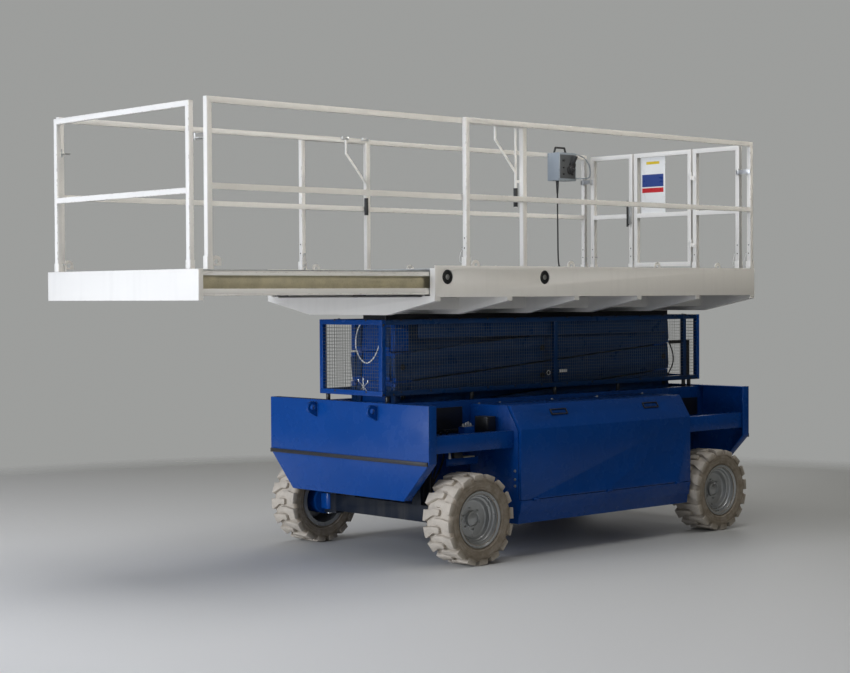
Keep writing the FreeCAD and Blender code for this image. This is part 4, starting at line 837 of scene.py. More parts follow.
@dataclass
class Rim:
    """A deep dished steel rim with a bolt circle, hub ring and valve."""

    half: float = 0.128
    bead: float = 0.19
    flange: float = 0.214
    disc: float = 0.02
    bolts: int = 6

    def build(self, kit: Kit, name: str, centre: Vector, side: int) -> None:
        """Build one rim with its nuts.

        Args:
            kit: Makes the pieces.
            name: The wheel's name.
            centre: The wheel's middle.
            side: 1 on the left, -1 on the right.
        """
        h, b, f, d = self.half, self.bead, self.flange, self.disc
        bm = bmesh.new()
        profile = [
            (b - 0.008, -h), (f, -h), (f + 0.001, -h + 0.004), (f - 0.003, -h + 0.008), (b + 0.004, -h + 0.009),
            (b, -h + 0.016), (b, h - 0.016), (b + 0.004, h - 0.009), (f - 0.003, h - 0.008), (f + 0.001, h - 0.004),
            (f - 0.001, h), (f - 0.008, h - 0.0005), (b + 0.004, h - 0.012), (b - 0.003, h - 0.03),
            (b - 0.004, h - 0.036), (b - 0.013, h - 0.0395), (b - 0.0165, h - 0.0445), (b - 0.018, h - 0.05),
            (b - 0.02, d + 0.052), (b - 0.031, d + 0.049), (b - 0.0355, d + 0.044), (b - 0.037, d + 0.038),
            (b - 0.045, d + 0.018), (b - 0.052, d + 0.0115), (b - 0.066, d + 0.01), (0.062, d + 0.0105),
            (0.06, d + 0.034), (0.055, d + 0.037), (0.05, d + 0.036), (0.047, d + 0.026), (0.0402, d + 0.0255),
            (0.0401, d + 0.012), (0.0401, d), (b - 0.038, d), (b - 0.026, d + 0.038),
            (b - 0.008, d + 0.052),
        ]
        lathe(bm, profile, (0, 0, 0), steps=96)
        cap = [(0.0002, d + 0.0255), (0.046, d + 0.0255), (0.046, d + 0.029), (0.03, d + 0.033), (0.0002, d + 0.034)]
        lathe(bm, cap, (0, 0, 0), steps=48)
        nuts = bmesh.new()
        for i in range(self.bolts):
            angle = 2.0 * math.pi * (i + 0.3) / self.bolts
            x, z = 0.084 * math.cos(angle), 0.084 * math.sin(angle)
            bar(nuts, (x, d + 0.0095, z), (x, d + 0.0115, z), 0.011, 20, 0.0008)
            bar(nuts, (x, d + 0.011, z), (x, d + 0.019, z), 0.0078, 6, 0.001)
            bar(nuts, (x, d + 0.018, z), (x, d + 0.024, z), 0.0042, 12, 0.0008)
        bar(nuts, (0.128, d + 0.012, 0.0), (0.134, d + 0.05, 0.0), 0.0045, 12, 0.0008)
        for mesh in (bm, nuts):
            bmesh.ops.scale(mesh, verts=mesh.verts, vec=(1, side, 1))
            bmesh.ops.translate(mesh, verts=mesh.verts, vec=centre)
        kit.add("rim_dish_" + name, bm, Finish.RIM, "wheel_" + name, ("rim_" + name,), 24.0)
        kit.add("wheel_nuts_" + name, nuts, Finish.RIM, "wheel_" + name)


@dataclass
class Wheels:
    """The four wheels."""

    axle_x: float = 1.437
    wheel_y: float = 0.9195
    radius: float = 0.345

    def build(self, kit: Kit) -> None:
        """Build every wheel."""
        for end, x in (("front", self.axle_x), ("rear", -self.axle_x)):
            for word, side in (("left", 1), ("right", -1)):
                name = end + "_" + word
                centre = spot(x, side * self.wheel_y, self.radius)
                Tyre().build(kit, name, centre, side)
                Rim().build(kit, name, centre, side)


# Chassis


@dataclass
class Chassis:
    """Frame, bumpers, axles, side boxes and their doors."""

    handle_x: tuple[float, float] = (0.467, -0.638)
    box_front_x: float = 0.96
    box_rear_x: float = -1.075

    def build(self, kit: Kit) -> None:
        """Dress the chassis."""
        for node in ("chassis_frame", "front_bumper", "rear_bumper", "lifting_lugs"):
            kit.soften(node, Finish.BLUE, 0.003)
        for node in ("front_axle", "rear_axle"):
            kit.soften(node, Finish.AXLE, 0.003)
        for node in ("knuckle_left", "knuckle_right", "side_box_left", "side_box_right"):
            kit.soften(node, Finish.BLUE, 0.0025)
        for node in ("side_door_left", "side_door_right"):
            kit.soften(node, Finish.BLUE, 0.006)
        kit.soften("bumper_strips", Finish.PLASTIC, 0.003)
        kit.soften("cage_feet", Finish.BLACK, 0.002)
        kit.soften("tie_rod", Finish.BLACK, 0.0015)
        kit.soften("batteries", Finish.PLASTIC, 0.006)
        for word, side in (("left", 1), ("right", -1)):
            self.door_fittings(kit, word, side)
            self.box_bolts(kit, word, side)
            self.steering_fittings(kit, word, side)
        self.lug_rings(kit)
        self.strip_caps(kit)
        self.arch_fittings(kit)

    def door_fittings(self, kit: Kit, word: str, side: int) -> None:
        """Add the black recessed pulls of one door.

        Args:
            kit: Makes the pieces.
            word: The side's name.
            side: 1 on the left, -1 on the right.
        """
        tray, lever = bmesh.new(), bmesh.new()
        slope = math.atan2(0.114, 0.179)
        for x in self.handle_x:
            middle = spot(x, side * 0.9285, 1.097)
            tilt = Matrix.Rotation(side * slope, 4, "X")
            out = tilt @ Vector((0, side, 0))
            up = tilt @ Vector((0, 0, 1))
            for shift_x, shift_up, half_x, half_up in (
                (0.0, 0.0215, 0.092, 0.004), (0.0, -0.0215, 0.092, 0.004), (0.088, 0.0, 0.004, 0.025), (-0.088, 0.0, 0.004, 0.025),
            ):
                spot_here = middle + Vector((shift_x, 0, 0)) + up * shift_up + out * 0.0165
                corner = Vector((half_x, 0.0065, half_up))
                block(tray, spot_here - corner, spot_here + corner, 0.002, tilt)
            back = middle - out * 0.016
            block(tray, back - Vector((0.086, 0.003, 0.022)), back + Vector((0.086, 0.003, 0.022)), 0.001, tilt)
            grip = middle + out * 0.004
            block(lever, grip - Vector((0.06, 0.006, 0.0085)), grip + Vector((0.06, 0.006, 0.0085)), 0.003, tilt)
            bar(lever, grip - Vector((0.07, 0, 0)), grip + Vector((0.07, 0, 0)), 0.005, 14, 0.001)
        kit.add("door_pull_trays_" + word, tray, Finish.PLASTIC, "door_" + word)
        kit.add("door_pull_levers_" + word, lever, Finish.BLACK, "door_" + word)

    def box_bolts(self, kit: Kit, word: str, side: int) -> None:
        """Add the bolts on the end walls of one side box.

        Args:
            kit: Makes the piece.
            word: The side's name.
            side: 1 on the left, -1 on the right.
        """
        bm = bmesh.new()
        for end_x, way in ((self.box_front_x, 1), (self.box_rear_x, -1)):
            for z in (0.553, 0.603, 0.669):
                bolt(bm, spot(end_x, side * 0.944, z), (way, 0, 0), 0.0085)
        for x in (-1.03, -0.45, 0.1, 0.7, 0.93):
            bolt(bm, spot(x, side * 0.52, 1.169), (0, 0, 1), 0.008)
        kit.add("box_bolts_" + word, bm, Finish.ZINC, "chassis")

    def steering_fittings(self, kit: Kit, word: str, side: int) -> None:
        """Add kingpin caps and motor bolts.

        Args:
            kit: Makes the pieces.
            word: The side's name.
            side: 1 on the left, -1 on the right.
        """
        bm = bmesh.new()
        for z, way in ((0.435, 1), (0.255, -1)):
            place = spot(1.437, side * 0.72, z)
            bar(bm, place - Vector((0, 0, 0.002 * way)), place + Vector((0, 0, 0.012 * way)), 0.03, 28, 0.002)
            for i in range(3):
                turn = Matrix.Rotation(math.radians(120 * i + 20), 3, "Z")
                bolt(bm, place + turn @ Vector((0.021, 0, 0)) + Vector((0, 0, 0.011 * way)), (0, 0, way), 0.0045)
        kit.add("kingpin_caps_" + word, bm, Finish.ZINC, "chassis")

    def lug_rings(self, kit: Kit) -> None:
        """Add the welded bead round the foot of each lifting lug."""
        bm = bmesh.new()
        for face_x, way in ((1.865, 1), (-1.962, -1)):
            for y in (0.36, -0.36):
                for shift in (0.0145, -0.0145):
                    start, end = spot(face_x + way * 0.001, y + shift, 1.075), spot(face_x + way * 0.001, y + shift, 1.19)
                    bar(bm, start, end, 0.0035, 10, 0.001)
        kit.add("lug_welds", bm, Finish.BLUE, "chassis")

    def strip_caps(self, kit: Kit) -> None:
        """Add the moulded end caps of the black strips on the bumpers, and the seam along their middle."""
        bm = bmesh.new()
        for face_x, way in ((1.865, 1), (-1.962, -1)):
            for side in (1, -1):
                low, high = spot(face_x, side * 0.925, 0.763), spot(face_x + way * 0.0135, side * 0.94, 0.795)
                block(bm, low, high, 0.003)
            block(bm, spot(face_x + way * 0.011, -0.925, 0.7755), spot(face_x + way * 0.0135, 0.925, 0.7825), 0.001)
        kit.add("strip_caps", bm, Finish.PLASTIC, "chassis")

    def arch_fittings(self, kit: Kit) -> None:
        """Add the trays over the wheels with the valve block, relay box, a small black block, brackets and hoses, and
        black sheets on the inner walls as painted shade.
        """
        for word, side in (("left", 1), ("right", -1)):
            tray, valves, dark, caps, strip = (bmesh.new() for _ in range(5))
            for start, end in ((1.0, 1.5), (-1.55, -1.2)):
                side_block(tray, side, (start, 0.44, 0.938), (end, 0.855, 0.946))
                side_block(tray, side, (start + 0.02, 0.7, 0.86), (start + 0.032, 0.855, 0.94))
            side_block(tray, side, (1.14, 0.7, 0.725), (1.46, 0.72, 0.78), 0.003)
            side_block(valves, side, (1.196, 0.66, 0.944), (1.291, 0.74, 1.015), 0.004)
            side_block(dark, side, (0.985, 0.62, 0.944), (1.079, 0.76, 1.085), 0.006)
            side_block(dark, side, (1.3, 0.69, 0.779), (1.39, 0.72, 0.826), 0.004)
            # Painted shade: thin black sheets against the inner walls over the front and rear wheels, where there is
            # only shade.
            side_block(dark, side, (1.05, 0.445, 0.944), (1.8, 0.455, 1.15))
            side_block(dark, side, (-1.86, 0.445, 0.944), (-1.13, 0.455, 1.1))
            side_block(strip, side, (1.175, 0.66, 0.779), (1.295, 0.72, 0.789))
            side_block(caps, side, (1.185, 0.685, 1.014), (1.302, 0.725, 1.021), 0.0015)
            for x, high in ((1.2, 1.034), (1.226, 1.046), (1.252, 1.04), (1.28, 1.032)):
                bar(caps, spot(x, side * 0.7, 1.02), spot(x, side * 0.7, high), 0.011, 18, 0.002)
                bar(caps, spot(x, side * 0.7, high - 0.001), spot(x, side * 0.7, high + 0.008), 0.006, 6, 0.001)
            bar(caps, spot(1.437, side * 0.715, 0.779), spot(1.437, side * 0.715, 0.835), 0.013, 20, 0.002, 0.008)
            kit.add("arch_tray_" + word, tray, Finish.BLUE, "chassis")
            kit.add("valve_block_" + word, valves, Finish.BLUE, "chassis")
            kit.add("arch_box_and_shade_sheets_" + word, dark, Finish.BLACK, "chassis")
            kit.add("arch_strip_" + word, strip, Finish.TAN, "chassis")
            kit.add("valve_caps_" + word, caps, Finish.ZINC, "chassis")
            for number, x in enumerate((1.27, 1.34, 1.4)):
                points = [spot(x, side * 0.63, 0.99), spot(x, side * 0.54, 0.99), spot(x + 0.02, side * 0.5, 0.9),
                          spot(x + 0.03, side * 0.5, 0.72), spot(1.437, side * 0.5, 0.55), spot(1.437, side * 0.5, 0.4)]
                kit.hose("arch_hose_%s_%d" % (word, number + 1), points, 0.008, Finish.HOSE, "chassis")


@dataclass
class Guard:
    """The welded mesh cage round the folded arms."""

    front_x: float = 1.816
    rear_x: float = -1.99
    half: float = 0.375
    bar_size: float = 0.04
    low_z: float = 1.256
    top_z: float = 1.84
    posts_x: tuple[float, ...] = (-0.107, -1.785)
    pitch: float = 0.027
    wire: float = 0.0011

    def build(self, kit: Kit) -> None:
        """Build the frames and the wires."""
        size = self.bar_size
        for word, side in (("left", 1), ("right", -1)):
            frame, net, inner = bmesh.new(), bmesh.new(), bmesh.new()
            y = (side * (self.half - size), side * self.half)
            ends = (self.rear_x + size, self.front_x - size)
            for z in ((self.low_z, self.low_z + size), (self.top_z - size, self.top_z)):
                block(frame, spot(ends[0], y[0], z[0]), spot(ends[1], y[1], z[1]), 0.003)
            for x in self.posts_x:
                block(frame, spot(x - size / 2, y[0], self.low_z + size), spot(x + size / 2, y[1], self.top_z - size), 0.003)
            wire_y = side * (self.half - 0.008)
            edges = sorted((ends[0] - size / 2, ends[1] + size / 2, *self.posts_x))
            for start, end in zip(edges[:-1], edges[1:]):
                self.net(net, spot(start + size / 2, wire_y, 0), spot(end - size / 2, wire_y, 0))
            inside = (self.half - size, self.half - size + 0.01)
            side_block(inner, side, (-1.885, inside[0], 1.581), (-1.602, inside[1], 1.611))
            side_block(inner, side, (-1.885, inside[0], self.low_z), (-1.785, inside[1], 1.6))
            bolt(inner, spot(1.8, side * self.half, 1.8), (0, side, 0), 0.007)
            for x in (1.8, 1.7, -1.95, -1.86):
                bolt(inner, spot(x, side * self.half, self.low_z + 0.012), (0, side, 0), 0.006)
            self.clips(inner, spot(ends[0], side * (self.half - 0.007), 0), spot(ends[1], side * (self.half - 0.007), 0))
            skirt = bmesh.new()
            side_block(skirt, side, (-1.58, self.half - size - 0.009, 1.69), (1.4, self.half - size + 0.001, 1.806))
            # The skirt and side frames take the darker copy of the blue paint, which is painted shade.
            kit.add("guard_skirt_" + word, skirt, Finish.SHADED_BLUE, "chassis")
            kit.add("guard_frame_" + word, frame, Finish.SHADED_BLUE, "chassis", ("cage_" + word,))
            kit.add("guard_net_" + word, net, Finish.MESH, "chassis")
            kit.add("guard_bars_" + word, inner, Finish.BLACK, "chassis")
        frame, net, marks = bmesh.new(), bmesh.new(), bmesh.new()
        for x in (self.front_x - size, self.rear_x):
            for z in ((self.low_z, self.low_z + size), (self.top_z - size, self.top_z)):
                block(frame, spot(x, -self.half, z[0]), spot(x + size, self.half, z[1]), 0.003)
            for side in (1, -1):
                y = (side * (self.half - size), side * self.half)
                block(frame, spot(x, y[0], self.low_z + size), spot(x + size, y[1], self.top_z - size), 0.003)
            outer = x + size - 0.008 if x > 0 else x + 0.008
            self.net(net, spot(outer, -self.half + size, 0), spot(outer, self.half - size, 0))
            self.clips(marks, spot(outer, -self.half, 0), spot(outer, self.half, 0))
        kit.add("guard_frame_ends", frame, Finish.BLUE, "chassis", ("cage_ends",))
        kit.add("guard_net_ends", net, Finish.MESH, "chassis")
        kit.add("guard_clips_ends", marks, Finish.BLACK, "chassis")
        self.lines(kit)

    def lines(self, kit: Kit) -> None:
        """Add the hoses and small couplings that are fixed inside the cage."""
        front = [(0.13, 1.822), (0.0956, 1.815), (0.0594, 1.7753), (0.0373, 1.7209), (0.027, 1.6432), (0.0457, 1.5871),
                 (0.0809, 1.5386), (0.1518, 1.498), (0.2227, 1.5265), (0.27, 1.5785), (0.2972, 1.6249), (0.3174, 1.6711), (0.342, 1.7)]
        rear = [(-1.605, 1.59), (-1.6415, 1.5332), (-1.666, 1.447), (-1.6437, 1.3814), (-1.5993, 1.3294), (-1.57, 1.288)]
        pipe = [(1.69, 1.285), (1.689, 1.36), (1.685, 1.45), (1.676, 1.55), (1.672, 1.7), (1.672, 1.815)]
        kit.hose("white_hose_loop", [spot(1.784, y, z) for y, z in front], 0.0048, Finish.BOARD, "chassis")
        kit.hose("rear_hose_loop", [spot(x, 0.344, z) for x, z in rear], 0.006, Finish.HOSE, "chassis")
        kit.hose("cage_pipe", [spot(x, 0.346, z) for x, z in pipe], 0.0045, Finish.BLUE, "chassis")
        bm = bmesh.new()
        for start, end, radius in (
            ((1.79, 0.125, 1.29), (1.79, 0.125, 1.37), 0.005), ((1.79, 0.07, 1.365), (1.79, 0.17, 1.29), 0.004),
            ((1.79, 0.18, 1.36), (1.79, 0.08, 1.29), 0.004), ((1.79, 0.07, 1.36), (1.79, 0.07, 1.38), 0.007),
            ((1.79, 0.18, 1.355), (1.79, 0.18, 1.375), 0.007), ((1.79, 0.125, 1.36), (1.79, 0.125, 1.39), 0.007),
        ):
            bar(bm, spot(*start), spot(*end), radius, 14, 0.001)
        kit.add("cage_couplings", bm, Finish.ZINC, "chassis")
        gauge, dial, plate = bmesh.new(), bmesh.new(), bmesh.new()
        centre = spot(-0.040, 0.338, 1.377)
        bar(gauge, centre, centre + Vector((-0.09, 0, 0)), 0.005, 12, 0.001)
        bar(gauge, centre - Vector((0, 0.004, 0)), centre + Vector((0, 0.012, 0)), 0.021, 28, 0.002)
        ring = [(0.0155, 0.011), (0.0205, 0.011), (0.0205, 0.0155), (0.0155, 0.0155)]
        lathe(dial, ring, centre, steps=28)
        block(plate, spot(-0.281, 0.334, 1.374), spot(-0.189, 0.337, 1.399), 0.0008)
        kit.add("cage_gauge", gauge, Finish.BLACK, "chassis")
        kit.add("cage_gauge_ring", dial, Finish.BOARD, "chassis")
        kit.add("cage_blank_plate", plate, Finish.BOARD, "chassis")

    def net(self, bm: bmesh.types.BMesh, start: Vector, end: Vector) -> None:
        """Fill one window with crossed wires.

        Args:
            bm: The mesh.
            start: One side of the window, at any height.
            end: Its other side.
        """
        low, high = self.low_z + self.bar_size, self.top_z - self.bar_size
        way = end - start
        out = Vector((0, 0, 1)).cross(way).normalized()
        if out.dot(Vector((start.x - WHEELBASE_MID_X, start.y, 0)) if abs(way.y) > 0.1 else Vector((0, start.y, 0))) < 0:
            out = -out
        columns = max(2, round(way.length / self.pitch))
        rows = round((high - low) / self.pitch)
        for i in range(1, columns):
            foot = start + way * (i / columns)
            bar(bm, (foot.x, foot.y, low - 0.006), (foot.x, foot.y, high + 0.006), self.wire, 6)
        shift = out * self.wire * 1.7
        for i in range(1, rows):
            z = low + (high - low) * i / rows
            first, last = start - way.normalized() * 0.006 + shift, end + way.normalized() * 0.006 + shift
            bar(bm, (first.x, first.y, z), (last.x, last.y, z), self.wire, 6)

    def clips(self, bm: bmesh.types.BMesh, start: Vector, end: Vector) -> None:
        """Add small clips that hold a net to its upper and lower bars.

        Args:
            bm: The mesh.
            start: One end of the row, at any height.
            end: The other end.
        """
        way = end - start
        count = max(2, round(way.length / 0.3))
        for i in range(count):
            middle = start + way * ((i + 0.5) / count)
            for z in (self.low_z + self.bar_size * 0.7, self.top_z - 0.003):
                reach = Vector((0.009, 0.009, 0.008))
                place = Vector((middle.x, middle.y, z))
                block(bm, place - reach, place + reach, 0.002)


# Arms


@dataclass
class Arms:
    """The folded scissor arms, their pins and the lift cylinder."""

    length: float = 3.133
    rise: float = 0.23
    pivot_x: float = 1.51
    pivot_z: float = 1.008
    face_y: float = 0.2665
    bore: float = 0.02505

    def build(self, kit: Kit) -> None:
        """Dress the arms."""
        for stage in (1, 2, 3):
            # The arms take the darker copy of the blue paint, which is painted shade.
            self.ease_bores(kit.soften("outer_arms_%d" % stage, Finish.SHADED_BLUE, 0.004))
            self.ease_bores(kit.soften("inner_arms_%d" % stage, Finish.SHADED_BLUE, 0.004))
            self.pin_caps(kit, stage)
        kit.soften("lift_barrel", Finish.BLUE, 0.002)
        kit.soften("lift_rod", Finish.CHROME, 0.0015)
        self.end_plates(kit)

    def ease_bores(self, piece: bpy.types.Object) -> None:
        """Widen the bores of a pair of arms, so that their flats turn clear of the pins' corners.

        Args:
            piece: The arms.
        """
        span = math.sqrt(self.length ** 2 - self.rise ** 2)
        places = [spot(self.pivot_x - span * i / 2.0, 0, self.pivot_z + self.rise * (k + (0.5 if i == 1 else 0.0)))
                  for i in range(3) for k in range(4)]
        eased = 0
        for vert in piece.data.vertices:
            for place in places:
                out = Vector((vert.co.x - place.x, 0, vert.co.z - place.z))
                if abs(out.length - self.bore) < 2.2e-5:
                    vert.co += out.normalized() * 0.0009
                    eased += 1
        LOG.info("%s: %d corners of bores eased", piece.name, eased)

    def end_plates(self, kit: Kit) -> None:
        """Add the square plates in the ends of the arms, and the platform's cheeks over the front ones."""
        tilt = math.asin(self.rise / self.length)
        span = self.length * math.cos(tilt)
        for stage in (1, 2, 3):
            for family, y, way in (("outer", 0.236, 1.0), ("inner", 0.172, -1.0)):
                bm = bmesh.new()
                for end in (1.0, -1.0):
                    z = self.pivot_z + (stage - 1) * self.rise + (self.rise if end != way else 0.0)
                    if z < 1.1:
                        continue
                    x = self.pivot_x - (span if end < 0 else 0.0) - end * 0.0225 * math.cos(tilt)
                    middle_z = z + end * way * 0.0225 * math.sin(tilt)
                    for side in (1, -1):
                        middle, reach = spot(x, side * y, middle_z), Vector((0.0925, 0.025, 0.1135))
                        block(bm, middle - reach, middle + reach, 0.0015, Matrix.Rotation(way * tilt, 4, "Y"))
                if family == "inner":
                    z = self.pivot_z + stage * self.rise + 0.052 * math.sin(tilt)
                    middle, reach = spot(self.pivot_x + 0.052 * math.cos(tilt), 0, z), Vector((0.005, 0.147, 0.113))
                    block(bm, middle - reach, middle + reach, 0.0015, Matrix.Rotation(-tilt, 4, "Y"))
                kit.add("%s_end_plates_%d" % (family, stage), bm, Finish.BLUE, "%s_%d" % (family, stage))
        bm = bmesh.new()
        for side in (1, -1):
            side_block(bm, side, (1.44, 0.212, 1.594), (1.585, 0.26, 1.81), 0.003)
        kit.add("platform_cheeks", bm, Finish.BLUE, "platform")

    def pin_caps(self, kit: Kit, stage: int) -> None:
        """Add keeper plates and bolts over the ends of one stage's pins.

        Args:
            kit: Makes the pieces.
            stage: The stage, counted from the bottom.
        """
        span = math.sqrt(self.length ** 2 - self.rise ** 2)
        low = self.pivot_z + (stage - 1) * self.rise
        places = [(self.pivot_x - span, low + self.rise, "outer_%d" % stage), (self.pivot_x - span / 2, low + self.rise / 2, "inner_%d" % stage)]
        if stage > 1:
            places.append((self.pivot_x, low, "outer_%d" % stage))
        for number, (x, z, body) in enumerate(places):
            bm = bmesh.new()
            for side in (1, -1):
                face = spot(x, side * self.face_y, z)
                way = Vector((0, side, 0))
                bar(bm, face, face + way * 0.006, 0.024, 28, 0.0015)
                bolt(bm, face + way * 0.006, way, 0.0085)
            kit.add("pin_caps_%d_%d" % (stage, number + 1), bm, Finish.BLACK, body)


# Platform


@dataclass
class Platform:
    """The fixed deck with its rails, rear frames and gate."""

    deck_z: float = 2.224
    rail_y: float = 0.978
    rail_x: tuple[float, float] = (-1.94, 1.5)
    tube: float = 0.04

    def build(self, kit: Kit) -> None:
        """Dress the fixed deck."""
        kit.soften("deck_frame", Finish.WHITE, 0.003)
        kit.soften("deck_floor", Finish.FLOOR, 0.002)
        kit.soften("deck_guides", Finish.BLACK, 0.003)
        kit.soften("deck_runners", Finish.BLACK, 0.002)
        for node in ("deck_rails", "rear_frames", "gate"):
            kit.soften(node, Finish.WHITE, 0.0045)
        kit.soften("deck_latches", Finish.ZINC, 0.0015)
        kit.soften("gate_board", Finish.BOARD, 0.001)
        self.sockets(kit)
        self.anchors(kit)
        self.roller_bolts(kit)
        self.board_bands(kit)
        self.gate_latch(kit)
        self.hook_latches(kit)

    def sockets(self, kit: Kit) -> None:
        """Add the sleeves that hold the posts, with their pins."""
        sleeve, pins, holes = bmesh.new(), bmesh.new(), bmesh.new()
        half = self.tube / 2 + 0.004
        feet = [(x, side * self.rail_y) for x in self.rail_x for side in (1, -1)]
        feet += [(-1.94, side * y) for side in (1, -1) for y in (0.377, 0.855)]
        for x, y in feet:
            middle = spot(x, y, self.deck_z)
            inward = -1.0 if y > 0 else 1.0
            for wall in (1, -1):
                block(sleeve, middle + Vector((wall * half - 0.003, -half, 0.0)), middle + Vector((wall * half + 0.003, half, 0.085)), 0.0015)
            block(sleeve, middle + Vector((-half, inward * half - 0.003, 0.0)), middle + Vector((half, inward * half + 0.003, 0.085)), 0.0015)
            bar(pins, middle + Vector((0, inward * (half + 0.002), 0.055)), middle + Vector((0, inward * (half + 0.02), 0.055)), 0.006, 12, 0.001)
            bolt(pins, middle + Vector((0, inward * (half + 0.003), 0.025)), (0, inward, 0), 0.007)
            self.lanyard(pins, middle + Vector((0.004, inward * (half + 0.012), 0.0)))
            for high in (0.033, 0.152, 0.226):
                bar(holes, middle + Vector((0.019, 0, high)), middle + Vector((0.0212, 0, high)), 0.0055, 14)
        kit.add("post_sleeves", sleeve, Finish.WHITE, "platform")
        kit.add("post_pins", pins, Finish.ZINC, "platform")
        kit.add("post_holes", holes, Finish.PLASTIC, "platform")

    def lanyard(self, bm: bmesh.types.BMesh, foot: Vector) -> None:
        """Add the short chain loop of one post's pin.

        Args:
            bm: The mesh.
            foot: The point on the deck below the pin.
        """
        corners = [(0.0, 0.148), (0.022, 0.118), (0.034, 0.082), (0.03, 0.05), (0.012, 0.046), (0.0, 0.055)]
        route = [foot + Vector((x, 0, z)) for x, z in corners]
        for start, end in zip(route[:-1], route[1:]):
            bar(bm, start, end, 0.0028, 8)
        bar(bm, route[0] - Vector((0.0, 0.012, 0)), route[0] + Vector((0.0, 0.012, 0)), 0.005, 12, 0.001)

    def anchors(self, kit: Kit) -> None:
        """Add the holed tabs along the deck's edges."""
        bm = bmesh.new()
        for x in (1.38, 0.33, -0.72, -1.52):
            for side in (1, -1):
                holed_tab(bm, spot(x, side * 0.955, self.deck_z), Vector((0.04, 0, 0)), Vector((0, 0, 0.026)), Vector((0, -side * 0.008, 0)), 0.42)
        kit.add("deck_anchor_tabs", bm, Finish.WHITE, "platform")

    def roller_bolts(self, kit: Kit) -> None:
        """Add bolts and an axle cap to the rollers that show in the fascia."""
        bm = bmesh.new()
        for x in (1.717, 0.682):
            for side in (1, -1):
                face = spot(x, side * 1.002, 2.16)
                way = Vector((0, side, 0))
                bar(bm, face - way * 0.004, face + way * 0.0005, 0.02, 24, 0.001)
                for i in range(3):
                    turn = Matrix.Rotation(math.radians(120 * i + 30), 3, "Y")
                    place = face + turn @ Vector((0.03, 0, 0)) - way * 0.0055
                    bar(bm, place, place + way * 0.005, 0.006, 6, 0.0008)
        kit.add("roller_bolts", bm, Finish.ZINC, "platform")

    def board_bands(self, kit: Kit) -> None:
        """Add the plain colour bands on both faces of the gate's board."""
        bands = (
            (Finish.BOARD_YELLOW, (-0.2, -0.045), (3.218, 3.242)),
            (Finish.BOARD_BLUE, (-0.25, 0.003), (3.011, 3.125)),
            (Finish.BOARD_RED, (-0.25, 0.003), (2.958, 3.0)),
        )
        for finish, y, z in bands:
            bm = bmesh.new()
            for x in (-1.9376, -1.9424):
                block(bm, spot(x - 0.0004, y[0], z[0]), spot(x + 0.0004, y[1], z[1]), 0.0)
            kit.add(finish.value[1].name + "_band", bm, finish, "gate")

    def gate_latch(self, kit: Kit) -> None:
        """Add the gate latch's handle."""
        bm = bmesh.new()
        x, y = -1.894, -0.377
        bar(bm, spot(x + 0.02, y, 2.65), spot(x + 0.02, y, 2.89), 0.009, 14, 0.002)
        for z in (2.67, 2.87):
            bar(bm, spot(x - 0.004, y, z), spot(x + 0.02, y, z), 0.007, 12, 0.001)
        kit.add("gate_latch_handle", bm, Finish.PLASTIC, "platform")

    def hook_latches(self, kit: Kit) -> None:
        """Add the clamps between the rear frames and the side rails."""
        bm = bmesh.new()
        for side in (1, -1):
            for y in (0.868, 0.965):
                place = spot(-1.912, side * y, 3.09)
                bar(bm, place - Vector((0, 0, 0.028)), place + Vector((0, 0, 0.028)), 0.0065, 12, 0.001)
                bolt(bm, place + Vector((0.0, 0, 0)), (1, 0, 0), 0.009)
        kit.add("rear_clamps", bm, Finish.ZINC, "platform")


